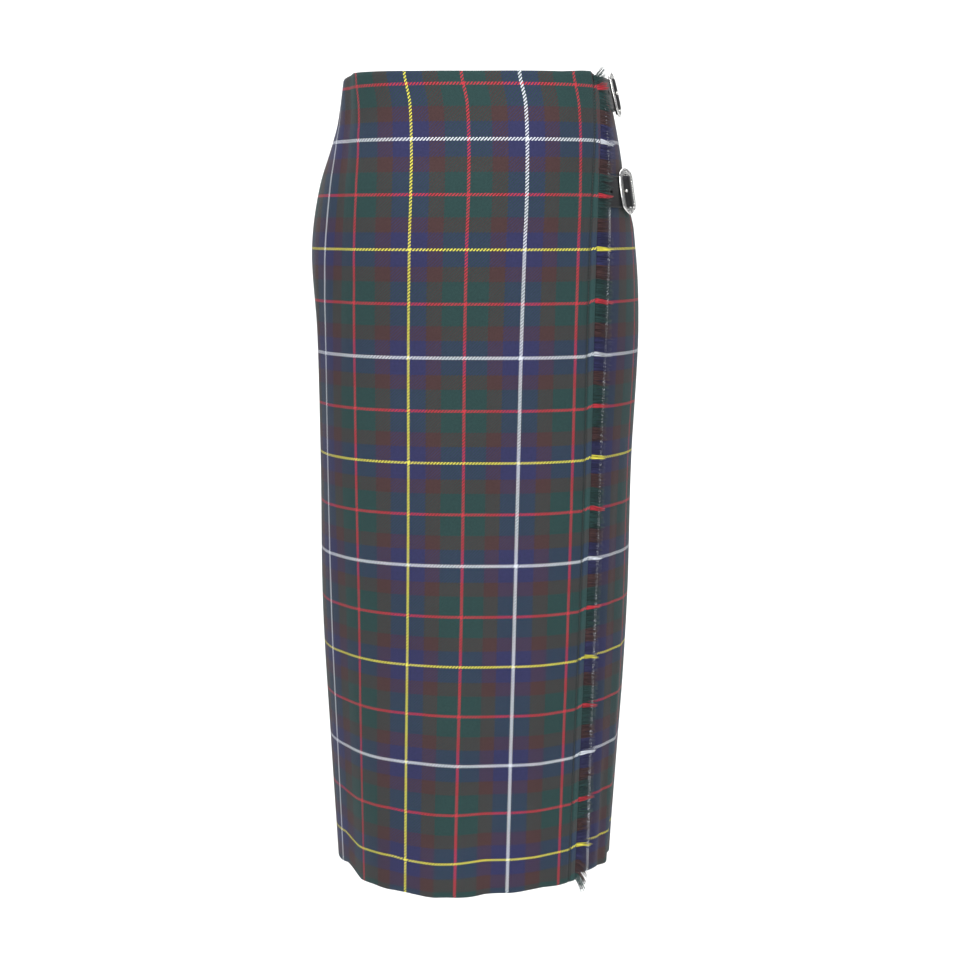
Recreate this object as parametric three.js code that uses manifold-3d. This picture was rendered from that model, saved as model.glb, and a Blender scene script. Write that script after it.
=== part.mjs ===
// A long tartan wrap skirt in its hollow, worn form: the over apron and its fringe lie on the under apron,
// which rounds the right side, and two strapped buckles close it at the hip.
// Millimetres, +Z up, the front faces -Y, and the origin is the middle of the waist opening.
import * as THREE from 'three';
import Module from 'manifold-3d';
import { mergeVertices } from 'three/addons/utils/BufferGeometryUtils.js';

const manifold = await Module();
manifold.setup();

// Cloth sizes
const SKIRT_LENGTH = 852;
const CLOTH_THICKNESS = 1.6;
const SEAM_GAP = 0.3;
const LAYER_GAP = 0.5;
const ROW_COUNT = 22;
const COLUMN_WIDTH = 18;

// The inner face of the wall, a rounded section at each height: side, front and back are its half sizes from
// its centre (midX, midY). The power on the left and right of the front is 2 for an ellipse and more for a
// squarer corner. stripeX is where the front's reference stripe lies, and lengths of cloth round the body are
// counted from it.
const SECTIONS = [
  { z: 0, side: 133.5, front: 105, back: 95, midX: 0, midY: 0, left: 2.5, right: 2.4, stripeX: -65.5 },
  { z: -50, side: 143, front: 120, back: 102, midX: 2, midY: 4, left: 2.5, right: 2.4, stripeX: -62 },
  { z: -110, side: 158, front: 136, back: 112, midX: -2, midY: 9, left: 2.5, right: 2.35, stripeX: -62 },
  { z: -170, side: 168.5, front: 143, back: 120, midX: -1, midY: 15, left: 2.5, right: 2.3, stripeX: -64 },
  { z: -260, side: 170, front: 142, back: 122, midX: 4, midY: 22, left: 2.6, right: 2.3, stripeX: -66 },
  { z: -400, side: 167, front: 137, back: 116, midX: 2, midY: 28, left: 2.6, right: 2.25, stripeX: -67.5 },
  { z: -560, side: 166, front: 136, back: 112, midX: 0, midY: 31, left: 2.2, right: 2.05, stripeX: -69.5 },
  { z: -720, side: 159, front: 134, back: 110, midX: -0.5, midY: 31, left: 2.0, right: 1.9, stripeX: -72.5 },
  { z: -852, side: 152, front: 134, back: 110, midX: -1, midY: 30, left: 1.9, right: 1.8, stripeX: -74.5 },
];
const BACK_POWER = 2.15;
const BACK_BLEND_START = 70;
const BACK_BLEND_END = 110;
const SECTION_SAMPLES = 720;
const TANGENT_STEP = 0.5;

// Soft vertical folds of the hem. Bearing is the angle from the front towards the right side, depth is how
// far the fold stands out (or in, if negative) at the hem, and top is the height where it begins.
const HEM_FOLDS = [
  { bearing: 84, spread: 5, depth: -4, top: -640 },
  { bearing: 118, spread: 13, depth: 5, top: -420 },
  { bearing: 152, spread: 14, depth: -5, top: -470 },
  { bearing: -168, spread: 13, depth: 6, top: -400 },
  { bearing: -133, spread: 14, depth: -5, top: -500 },
  { bearing: -66, spread: 12, depth: -2.5, top: -560 },
];

// Where the wrap's edges are, and the height whose girth sets the number of columns
const SEAM_BEARING = 99;
const UNDER_END_BEARING = -78;
const WIDEST_HEIGHT = -284;

// The over apron's free edge: its length of cloth from the reference stripe, how far it stands off the under
// apron, and how far the under apron falls in there
const EDGE_SETTINGS = [
  { z: 0, along: 196, lift: 3.4, hollow: 0 },
  { z: -60, along: 192, lift: 3.4, hollow: 0 },
  { z: -130, along: 188, lift: 3.4, hollow: 0 },
  { z: -420, along: 188, lift: 3.4, hollow: 0 },
  { z: -620, along: 188, lift: 4.5, hollow: 5 },
  { z: -852, along: 188, lift: 6, hollow: 12 },
];
const LIFT_REACH = 120;
const LIFT_FULL = 38;
const HOLLOW_REACH_UNDER = 170;
const HOLLOW_REACH_OUT = 44;

// Fringe
const FRINGE_STRANDS = 150;
const FRINGE_STRIP = 3;
const FRINGE_STRAND = 11;
const FRINGE_THICKNESS = 1.2;
const FRINGE_ROOT_SHARE = 0.5;
const FRINGE_END_LIFT = 1.5;
const FRINGE_UNEVEN = 0.18;
const FRINGE_LIFT = 1;
const FRINGE_WAVE = 1.2;
const FRINGE_WAVE_TURN = 2.3;
const FRINGE_DROP = 1.6;
const FRINGE_DROP_STEP = 0.5;

// Straps, and the two closures that they make
const STRAP_HEIGHT = 32;
const STRAP_THICKNESS = 2.2;
const STRAP_ROOT = 28;
const STRAP_STEP = 4;
const TAIL_END = 46;
const TAIL_POINT = 13;
const TAIL_NARROWING = 0.8;
const HOLE_PITCH = 27;
const HOLE_STEPS = [-2, -1, 0, 1];
const HOLE_RADIUS = 2.2;
const HOLE_END_GAP = 6;
const HOLE_PUNCH = 16;
const PRONG_HOLE_LENGTH = 9.6;
const PRONG_HOLE_WIDTH = 3.8;
const PRONG_HOLE_REACH = 10;
const CLOSURES = [
  { name: 'upper', z: -17, reach: 44 },
  { name: 'lower', z: -116, reach: 38 },
];

// The strap's inner face above the cloth, at places counted from the buckle's middle: flat on the under
// apron, under the front rail, up over the bar and down under the rear rail onto the tab
const STRAP_PATH = [
  { place: -18, rise: 0.5 },
  { place: -10.8, rise: 0.5 },
  { place: 0.5, rise: 6.9 },
  { place: 6, rise: 7.1 },
  { place: 11.5, rise: 3.7 },
  { place: 21, rise: 3.6 },
];

// Buckles, in the plane that touches the skirt: along the strap and up the skirt
const FRAME_WIDTH = 32;
const FRAME_HEIGHT = 48;
const FRAME_THICKNESS = 2.6;
const OPENING_HEIGHT = 33.2;
const FRONT_RAIL = 6;
const REAR_RAIL = 4.5;
const FRAME_CORNER = 9;
const FRAME_BELLY = 3;
const TOP_CORNER = { across: 2, down: 1 };
const LOW_CORNER = { across: 4, down: 3 };
const FRAME_BEVEL = 0.5;
const FRAME_TILT_DEGREES = 7.5;
const FRAME_RISE = 5.6;
const BAR_RADIUS = 1.2;
const BAR_SEAT = 3;
const BAR_PLACE = 4.5;
const BAR_RISE = 3.8;
const PRONG_RADIUS = 1;
const PRONG_BALL = 1.6;
const PRONG_RING = 2.5;
const PRONG_RING_WIDTH = 3.2;
const PRONG_OVERHANG = 1;
const RUNNING_GAP = 0.3;
const PLANE_STEP = 8;

// Tabs that hold the buckles
const TAB_HEIGHT = 26;
const TAB_THICKNESS = 1.2;
const TAB_SEWN = 6;
const TAB_SEAT = 0.8;
const TAB_TAIL = 34;
const TAB_STEPS = 5;
const TAB_ROWS = 3;
const TAB_SLOT = 4.6;
const TAB_SLOT_BACK = 1;
const TAB_SLOT_EXTRA = 4;
const TAB_BORE_GAP = 0.5;
const ARC_STEPS = 8;

const FINISHES = {
  cloth: { color: 0x3c4a52, roughness: 0.92, metalness: 0 },
  underCloth: { color: 0x343a5c, roughness: 0.92, metalness: 0 },
  backCloth: { color: 0x3a4d44, roughness: 0.92, metalness: 0 },
  fringe: { color: 0x5a2f3c, roughness: 0.95, metalness: 0 },
  leather: { color: 0x16161a, roughness: 0.45, metalness: 0 },
  silver: { color: 0xc9c9cb, roughness: 0.28, metalness: 1 },
};

function finish(kind) {
  return new THREE.MeshStandardMaterial(FINISHES[kind]);
}

// A smooth column of a table at height z: a cubic through the rows, with slopes from the rows beside them
function columnAt(table, name, z) {
  const last = table.length - 1;
  let row = 0;
  while (row < last - 1 && z < table[row + 1].z) row += 1;
  const span = (i) => (table[i + 1][name] - table[i][name]) / (table[i + 1].z - table[i].z);
  const slope = (i) => {
    if (i === 0) return span(0);
    if (i === last) return span(last - 1);
    return (span(i - 1) + span(i)) / 2;
  };
  const length = table[row + 1].z - table[row].z;
  const t = THREE.MathUtils.clamp((z - table[row].z) / length, 0, 1);
  const start = table[row][name];
  const end = table[row + 1][name];
  return (2 * t ** 3 - 3 * t ** 2 + 1) * start + (t ** 3 - 2 * t ** 2 + t) * length * slope(row)
    + (3 * t ** 2 - 2 * t ** 3) * end + (t ** 3 - t ** 2) * length * slope(row + 1);
}

function smoothStep(value, low, high) {
  const t = THREE.MathUtils.clamp((value - low) / (high - low), 0, 1);
  return t * t * (3 - 2 * t);
}

function foldAt(z, bearing) {
  let depth = 0;
  for (const fold of HEM_FOLDS) {
    const across = THREE.MathUtils.euclideanModulo(bearing - fold.bearing + 180, 360) - 180;
    depth += fold.depth * smoothStep(-z, -fold.top, SKIRT_LENGTH) * Math.exp(-((across / fold.spread) ** 2));
  }
  return depth;
}

// The section at height z as a radius from its centre at each bearing, and the length of cloth round it,
// which is counted from the reference stripe
function makeSection(z) {
  const row = {};
  for (const name of Object.keys(SECTIONS[0])) row[name] = columnAt(SECTIONS, name, z);
  const point = (bearing) => {
    const angle = THREE.MathUtils.degToRad(bearing);
    const across = Math.sin(angle);
    const forward = Math.cos(angle);
    const depth = forward > 0 ? row.front : row.back;
    const frontPower = across > 0 ? row.right : row.left;
    const blend = smoothStep(Math.abs(bearing), BACK_BLEND_START, BACK_BLEND_END);
    const power = frontPower + (BACK_POWER - frontPower) * blend;
    const reach = (Math.abs(across) / row.side) ** power + (Math.abs(forward) / depth) ** power;
    const radius = reach ** (-1 / power) + foldAt(z, bearing);
    return new THREE.Vector2(row.midX + radius * across, row.midY - radius * forward);
  };
  const bearings = [];
  const lengths = [];
  let before = point(-180);
  let total = 0;
  let stripeLength = 0;
  for (let i = 0; i <= SECTION_SAMPLES; i += 1) {
    const bearing = -180 + (360 * i) / SECTION_SAMPLES;
    const here = point(bearing);
    total += here.distanceTo(before);
    if (Math.abs(bearing) < 90 && before.x <= row.stripeX && here.x > row.stripeX) stripeLength = total;
    bearings.push(bearing);
    lengths.push(total);
    before = here;
  }
  const centre = new THREE.Vector2(row.midX, row.midY);
  return { point, centre, bearings, lengths, stripeLength, girth: total };
}

const sectionCache = new Map();
function sectionAt(z) {
  if (!sectionCache.has(z)) sectionCache.set(z, makeSection(z));
  return sectionCache.get(z);
}

function lerpTable(from, to, value) {
  let low = 0;
  let high = from.length - 1;
  while (high - low > 1) {
    const middle = Math.floor((low + high) / 2);
    if (from[middle] > value) high = middle;
    else low = middle;
  }
  const share = (value - from[low]) / (from[high] - from[low]);
  return to[low] + share * (to[high] - to[low]);
}

function lengthAtBearing(z, bearing) {
  const section = sectionAt(z);
  return lerpTable(section.bearings, section.lengths, bearing) - section.stripeLength;
}

function bearingAtLength(z, along) {
  const section = sectionAt(z);
  const wrapped = THREE.MathUtils.euclideanModulo(along + section.stripeLength, section.girth);
  return lerpTable(section.lengths, section.bearings, wrapped);
}

// A point of the skirt: along is the length of cloth from the reference stripe towards the right side,
// and rise is how far it lies outside the wall's inner face, level with z
function skirtPoint(z, along, rise) {
  const bearing = bearingAtLength(z, along);
  const section = sectionAt(z);
  const here = section.point(bearing);
  const before = section.point(bearing - TANGENT_STEP);
  const tangent = section.point(bearing + TANGENT_STEP).sub(before).normalize();
  return new THREE.Vector3(here.x + tangent.y * rise, here.y - tangent.x * rise, z);
}

// A point of the flat facets between the rows, for what lies along the free edge: past is its length of
// cloth beyond the edge
function facetPoint(z, past, riseAt) {
  const row = Math.min(Math.floor((-z * ROW_COUNT) / SKIRT_LENGTH), ROW_COUNT - 1);
  const top = (-SKIRT_LENGTH * row) / ROW_COUNT;
  const low = (-SKIRT_LENGTH * (row + 1)) / ROW_COUNT;
  const start = skirtPoint(top, freeEdge(top) + past, riseAt(top));
  return start.lerp(skirtPoint(low, freeEdge(low) + past, riseAt(low)), (top - z) / (top - low));
}

function freeEdge(z) {
  return columnAt(EDGE_SETTINGS, 'along', z);
}

function apronLift(z, along) {
  const near = smoothStep(along, freeEdge(z) - LIFT_REACH, freeEdge(z) - LIFT_FULL);
  return columnAt(EDGE_SETTINGS, 'lift', z) * near;
}

function underHollow(z, along) {
  const edge = freeEdge(z);
  const inwards = smoothStep(along, edge - HOLLOW_REACH_UNDER, edge);
  const outwards = 1 - smoothStep(along, edge, edge + HOLLOW_REACH_OUT);
  return columnAt(EDGE_SETTINGS, 'hollow', z) * inwards * outwards;
}

const overRise = (z, along) => CLOTH_THICKNESS + LAYER_GAP + apronLift(z, along);
const underRise = (z, along) => -underHollow(z, along);

// The places across one height, from one length of cloth to the next, in equal steps
function stepsBetween(start, end, count) {
  const steps = [];
  for (let i = 0; i < count; i += 1) steps.push(start + ((end - start) * i) / count);
  return steps;
}

const columnCounts = (() => {
  const leftSeam = lengthAtBearing(WIDEST_HEIGHT, -SEAM_BEARING);
  const underEnd = lengthAtBearing(WIDEST_HEIGHT, UNDER_END_BEARING);
  const rightSeam = lengthAtBearing(WIDEST_HEIGHT, SEAM_BEARING);
  const edge = freeEdge(WIDEST_HEIGHT);
  const count = (length) => Math.max(2, Math.round(length / COLUMN_WIDTH));
  return {
    left: count(underEnd - leftSeam),
    shared: count(edge - underEnd),
    right: count(rightSeam - edge),
    back: count(sectionAt(WIDEST_HEIGHT).girth - rightSeam + leftSeam),
  };
})();

function overColumns(z) {
  const leftSeam = lengthAtBearing(z, -SEAM_BEARING);
  const underEnd = lengthAtBearing(z, UNDER_END_BEARING);
  return [...stepsBetween(leftSeam, underEnd, columnCounts.left),
    ...stepsBetween(underEnd, freeEdge(z), columnCounts.shared), freeEdge(z)];
}

function underColumns(z) {
  const underEnd = lengthAtBearing(z, UNDER_END_BEARING);
  const rightSeam = lengthAtBearing(z, SEAM_BEARING);
  return [...stepsBetween(underEnd, freeEdge(z), columnCounts.shared),
    ...stepsBetween(freeEdge(z), rightSeam, columnCounts.right), rightSeam];
}

function backColumns(z) {
  const start = lengthAtBearing(z, SEAM_BEARING) + SEAM_GAP;
  const end = lengthAtBearing(z, -SEAM_BEARING) + sectionAt(z).girth - SEAM_GAP;
  return [...stepsBetween(start, end, columnCounts.back), end];
}

// The back panel joins the under apron at the right side and the over apron at the left side
function backRise(z, along) {
  const start = lengthAtBearing(z, SEAM_BEARING);
  const end = lengthAtBearing(z, -SEAM_BEARING) + sectionAt(z).girth;
  return (CLOTH_THICKNESS + LAYER_GAP) * smoothStep(along, start, end);
}

function meshGeometry(points, triangles) {
  const geometry = new THREE.BufferGeometry();
  const places = points.flatMap((p) => [p.x, p.y, p.z]);
  geometry.setAttribute('position', new THREE.Float32BufferAttribute(places, 3));
  geometry.setIndex(triangles);
  return geometry;
}

// A closed wall between two faces that share their rows and columns: rows run down and columns run towards
// the right side of the wearer's front
function wallGeometry(outer, inner) {
  const rows = outer.length;
  const columns = outer[0].length;
  const points = [...outer.flat(), ...inner.flat()];
  const at = (face, row, column) => face * rows * columns + row * columns + column;
  const triangles = [];
  const quad = (a, b, c, d) => triangles.push(a, b, c, a, c, d);
  for (let row = 0; row < rows - 1; row += 1) {
    for (let column = 0; column < columns - 1; column += 1) {
      quad(at(0, row, column), at(0, row + 1, column), at(0, row + 1, column + 1), at(0, row, column + 1));
      quad(at(1, row, column), at(1, row, column + 1), at(1, row + 1, column + 1), at(1, row + 1, column));
    }
  }
  for (let column = 0; column < columns - 1; column += 1) {
    quad(at(0, 0, column), at(0, 0, column + 1), at(1, 0, column + 1), at(1, 0, column));
    const low = rows - 1;
    quad(at(0, low, column), at(1, low, column), at(1, low, column + 1), at(0, low, column + 1));
  }
  for (let row = 0; row < rows - 1; row += 1) {
    quad(at(0, row, 0), at(1, row, 0), at(1, row + 1, 0), at(0, row + 1, 0));
    const end = columns - 1;
    quad(at(0, row, end), at(0, row + 1, end), at(1, row + 1, end), at(1, row, end));
  }
  return meshGeometry(points, triangles);
}

function rowHeights() {
  return Array.from({ length: ROW_COUNT + 1 }, (_, i) => (-SKIRT_LENGTH * i) / ROW_COUNT);
}

function clothPanel(columnsAt, riseAt) {
  const face = (extra) => rowHeights().map(
    (z) => columnsAt(z).map((along) => skirtPoint(z, along, riseAt(z, along) + extra)),
  );
  return wallGeometry(face(CLOTH_THICKNESS), face(0));
}

// The fringe: a three-sided strip along the free edge, and on it one four-sided strand after another, each
// from a root on the strip to a point
function fringeGeometry() {
  const pitch = (SKIRT_LENGTH - 2 * FRINGE_END_LIFT) / FRINGE_STRANDS;
  const middleRise = (z) => overRise(z, freeEdge(z)) + CLOTH_THICKNESS / 2;
  const edge = (z) => facetPoint(z, SEAM_GAP, middleRise);
  const side = (z, way) => facetPoint(z, SEAM_GAP + FRINGE_STRIP,
    (height) => middleRise(height) + (way * FRINGE_THICKNESS) / 2);
  const heights = [-FRINGE_END_LIFT];
  for (let i = 0; i < FRINGE_STRANDS; i += 1) {
    const top = -FRINGE_END_LIFT - pitch * i;
    heights.push(top - (pitch * (1 - FRINGE_ROOT_SHARE)) / 2);
    heights.push(top - (pitch * (1 + FRINGE_ROOT_SHARE)) / 2);
  }
  heights.push(-SKIRT_LENGTH + FRINGE_END_LIFT);
  const points = [];
  for (const z of heights) points.push(edge(z), side(z, 1), side(z, -1));
  const triangles = [];
  const quad = (a, b, c, d) => triangles.push(a, b, c, a, c, d);
  const last = heights.length - 1;
  triangles.push(0, 1, 2, 3 * last, 3 * last + 2, 3 * last + 1);
  for (let row = 0; row < last; row += 1) {
    const [edgeTop, outTop, inTop] = [3 * row, 3 * row + 1, 3 * row + 2];
    const [edgeLow, outLow, inLow] = [3 * row + 3, 3 * row + 4, 3 * row + 5];
    quad(edgeTop, edgeLow, outLow, outTop);
    quad(edgeTop, inTop, inLow, edgeLow);
    if (row % 2 === 0) {
      quad(outTop, outLow, inLow, inTop);
    } else {
      const strand = (row - 1) / 2;
      const z = (heights[row] + heights[row + 1]) / 2;
      const reach = FRINGE_STRAND * (1 - (FRINGE_UNEVEN * ((strand * 7) % 5)) / 4);
      const wave = FRINGE_WAVE * Math.sin(strand * FRINGE_WAVE_TURN);
      const fall = FRINGE_DROP + ((strand * 3) % 4) * FRINGE_DROP_STEP;
      const drop = Math.max(z - fall, -SKIRT_LENGTH + FRINGE_END_LIFT / 2);
      const tip = facetPoint(drop, SEAM_GAP + FRINGE_STRIP + reach,
        (height) => middleRise(height) + FRINGE_LIFT + wave);
      const apex = points.push(tip) - 1;
      triangles.push(outTop, outLow, apex, outLow, inLow, apex, inLow, inTop, apex, inTop, outTop, apex);
    }
  }
  return meshGeometry(points, triangles);
}

function toManifold(geometry) {
  const bare = geometry.clone();
  bare.deleteAttribute('normal');
  bare.deleteAttribute('uv');
  const merged = mergeVertices(bare, 1e-4);
  return new manifold.Manifold(new manifold.Mesh({
    numProp: 3,
    vertProperties: new Float32Array(merged.attributes.position.array),
    triVerts: new Uint32Array(merged.index.array),
  }));
}

function fromManifold(solid) {
  const mesh = solid.getMesh();
  const geometry = new THREE.BufferGeometry();
  geometry.setAttribute('position', new THREE.BufferAttribute(new Float32Array(mesh.vertProperties), 3));
  geometry.setIndex(new THREE.BufferAttribute(new Uint32Array(mesh.triVerts), 1));
  return geometry;
}

// The plane that touches the wall's inner face at a buckle's middle: x along the strap towards the back,
// y up the skirt and z out of it
function bucklePlane(closure) {
  const along = freeEdge(closure.z) + closure.reach + FRAME_WIDTH / 2;
  const place = skirtPoint(closure.z, along, 0);
  const forward = skirtPoint(closure.z, along + PLANE_STEP, 0);
  forward.sub(skirtPoint(closure.z, along - PLANE_STEP, 0)).normalize();
  const upward = skirtPoint(closure.z + PLANE_STEP, along, 0);
  upward.sub(skirtPoint(closure.z - PLANE_STEP, along, 0));
  const outward = new THREE.Vector3().crossVectors(forward, upward).normalize();
  upward.crossVectors(outward, forward);
  return new THREE.Matrix4().makeBasis(forward, upward, outward).setPosition(place);
}

// A point of a closure: place is the length of cloth from the buckle's middle towards the back, height is
// measured up the skirt from the strap's middle, and rise is square to the sloping hip
function closurePoint(closure, place, height, rise) {
  const plane = bucklePlane(closure);
  const middle = new THREE.Vector3(0, height, 0).applyMatrix4(plane);
  const { centre } = sectionAt(middle.z);
  const bearing = THREE.MathUtils.radToDeg(Math.atan2(middle.x - centre.x, centre.y - middle.y));
  const along = lengthAtBearing(middle.z, bearing) + place;
  const base = skirtPoint(middle.z, along, 0);
  const slope = new THREE.Vector3().setFromMatrixColumn(plane, 2).z;
  const outward = skirtPoint(middle.z, along, 1).sub(base).multiplyScalar(Math.sqrt(1 - slope * slope));
  outward.z = slope;
  return base.addScaledVector(outward, rise);
}

// The frame lies in a plane that is tilted so that its rear rail clears the tab and the strap
function framePlane(closure) {
  const tilt = new THREE.Matrix4().makeRotationY(-THREE.MathUtils.degToRad(FRAME_TILT_DEGREES));
  const lift = new THREE.Matrix4().makeTranslation(0, 0, CLOTH_THICKNESS + FRAME_RISE);
  return bucklePlane(closure).multiply(lift).multiply(tilt);
}

function frameGeometry(closure) {
  const halfWidth = FRAME_WIDTH / 2;
  const halfHeight = FRAME_HEIGHT / 2;
  const outline = new THREE.Shape();
  const shoulder = halfHeight - FRAME_CORNER;
  const low = { x: halfWidth - LOW_CORNER.across, y: LOW_CORNER.down - halfHeight };
  const top = { x: halfWidth - TOP_CORNER.across, y: halfHeight - TOP_CORNER.down };
  outline.moveTo(-halfWidth, -shoulder);
  outline.quadraticCurveTo(-low.x, low.y, 0, -halfHeight);
  outline.quadraticCurveTo(low.x, low.y, halfWidth, -shoulder);
  outline.lineTo(halfWidth, shoulder);
  outline.quadraticCurveTo(top.x, top.y, 0, halfHeight);
  outline.quadraticCurveTo(-top.x, top.y, -halfWidth, shoulder);
  outline.quadraticCurveTo(-halfWidth - FRAME_BELLY, 0, -halfWidth, -shoulder);
  const hole = new THREE.Path();
  const holeLeft = -halfWidth + FRONT_RAIL;
  const holeRight = halfWidth - REAR_RAIL;
  hole.moveTo(holeLeft, -OPENING_HEIGHT / 2);
  hole.lineTo(holeLeft, OPENING_HEIGHT / 2);
  hole.lineTo(holeRight, OPENING_HEIGHT / 2);
  hole.lineTo(holeRight, -OPENING_HEIGHT / 2);
  outline.holes.push(hole);
  const plate = new THREE.ExtrudeGeometry(outline, {
    depth: FRAME_THICKNESS - 2 * FRAME_BEVEL,
    bevelThickness: FRAME_BEVEL,
    bevelSize: FRAME_BEVEL,
    bevelOffset: -FRAME_BEVEL,
    bevelSegments: 1,
    curveSegments: 5,
  });
  plate.translate(0, 0, -FRAME_THICKNESS / 2 + FRAME_BEVEL);
  plate.applyMatrix4(framePlane(closure));
  const bar = new THREE.CylinderGeometry(BAR_RADIUS, BAR_RADIUS, OPENING_HEIGHT + 2 * BAR_SEAT, 10);
  bar.translate(BAR_PLACE, 0, CLOTH_THICKNESS + BAR_RISE);
  bar.applyMatrix4(bucklePlane(closure));
  return fromManifold(toManifold(plate).add(toManifold(bar)));
}

function prongGeometry(closure) {
  const barPlace = new THREE.Vector3(BAR_PLACE, 0, CLOTH_THICKNESS + BAR_RISE);
  const railEdge = -FRAME_WIDTH / 2 + FRONT_RAIL;
  const toPlane = bucklePlane(closure).invert().multiply(framePlane(closure));
  const tip = new THREE.Vector3(railEdge - PRONG_OVERHANG, 0, FRAME_THICKNESS / 2 + RUNNING_GAP);
  tip.applyMatrix4(toPlane);
  tip.z += PRONG_BALL;
  const ring = new THREE.ExtrudeGeometry(ringShape(PRONG_RING, BAR_RADIUS + RUNNING_GAP), {
    depth: PRONG_RING_WIDTH, bevelEnabled: false, curveSegments: 10,
  });
  ring.translate(0, 0, -PRONG_RING_WIDTH / 2);
  ring.rotateX(Math.PI / 2);
  ring.translate(barPlace.x, barPlace.y, barPlace.z);
  const start = barPlace.clone();
  start.x -= (PRONG_RING + BAR_RADIUS) / 2;
  const length = start.distanceTo(tip);
  const shank = new THREE.CylinderGeometry(PRONG_RADIUS, PRONG_RADIUS, length, 8);
  const turn = new THREE.Quaternion().setFromUnitVectors(
    new THREE.Vector3(0, 1, 0), tip.clone().sub(start).normalize(),
  );
  shank.applyQuaternion(turn);
  shank.translate((start.x + tip.x) / 2, 0, (start.z + tip.z) / 2);
  const ball = new THREE.SphereGeometry(PRONG_BALL, 10, 8);
  ball.translate(tip.x, tip.y, tip.z);
  const boreRadius = BAR_RADIUS + RUNNING_GAP;
  const bore = new THREE.CylinderGeometry(boreRadius, boreRadius, 2 * PRONG_RING_WIDTH, 10);
  bore.translate(barPlace.x, 0, barPlace.z);
  const solid = toManifold(ring).add(toManifold(shank)).add(toManifold(ball)).subtract(toManifold(bore));
  const geometry = fromManifold(solid);
  geometry.applyMatrix4(bucklePlane(closure));
  return geometry;
}

function ringShape(outerRadius, innerRadius) {
  const shape = new THREE.Shape();
  shape.absarc(0, 0, outerRadius, 0, 2 * Math.PI, false);
  const hole = new THREE.Path();
  hole.absarc(0, 0, innerRadius, 0, 2 * Math.PI, true);
  shape.holes.push(hole);
  return shape;
}

function strapRise(place) {
  const last = STRAP_PATH.length - 1;
  if (place <= STRAP_PATH[0].place) return STRAP_PATH[0].rise;
  if (place >= STRAP_PATH[last].place) return STRAP_PATH[last].rise;
  let row = 0;
  while (place > STRAP_PATH[row + 1].place) row += 1;
  const share = smoothStep(place, STRAP_PATH[row].place, STRAP_PATH[row + 1].place);
  return STRAP_PATH[row].rise + share * (STRAP_PATH[row + 1].rise - STRAP_PATH[row].rise);
}

function strapGeometry(closure) {
  const start = -STRAP_ROOT - closure.reach - FRAME_WIDTH / 2;
  const knots = [start, ...STRAP_PATH.map((row) => row.place), TAIL_END - TAIL_POINT, TAIL_END];
  const places = [TAIL_END];
  for (let i = knots.length - 2; i >= 0; i -= 1) {
    const count = Math.max(1, Math.round((knots[i + 1] - knots[i]) / STRAP_STEP));
    places.unshift(...stepsBetween(knots[i], knots[i + 1], count));
  }
  const halfHeight = (place) => {
    const past = Math.max(0, place - (TAIL_END - TAIL_POINT)) / TAIL_POINT;
    return (STRAP_HEIGHT / 2) * (1 - TAIL_NARROWING * past ** 2);
  };
  const rows = [1, 0, -1];
  const face = (extra) => rows.map((share) => places.map((place) => closurePoint(
    closure, place, share * halfHeight(place), CLOTH_THICKNESS + strapRise(place) + extra,
  )));
  let solid = toManifold(wallGeometry(face(STRAP_THICKNESS), face(0)));
  for (const step of HOLE_STEPS) {
    const place = BAR_PLACE - PRONG_HOLE_REACH + step * HOLE_PITCH;
    if (place < start + HOLE_END_GAP || place > TAIL_END - HOLE_END_GAP) continue;
    const punch = new THREE.CylinderGeometry(1, 1, HOLE_PUNCH, 10);
    punch.rotateX(Math.PI / 2);
    if (step === 0) punch.scale(PRONG_HOLE_LENGTH / 2, PRONG_HOLE_WIDTH / 2, 1);
    else punch.scale(HOLE_RADIUS, HOLE_RADIUS, 1);
    const shifted = { ...closure, reach: closure.reach + place };
    punch.translate(0, 0, CLOTH_THICKNESS + strapRise(place));
    punch.applyMatrix4(bucklePlane(shifted));
    solid = solid.subtract(toManifold(punch));
  }
  return fromManifold(solid);
}

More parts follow.
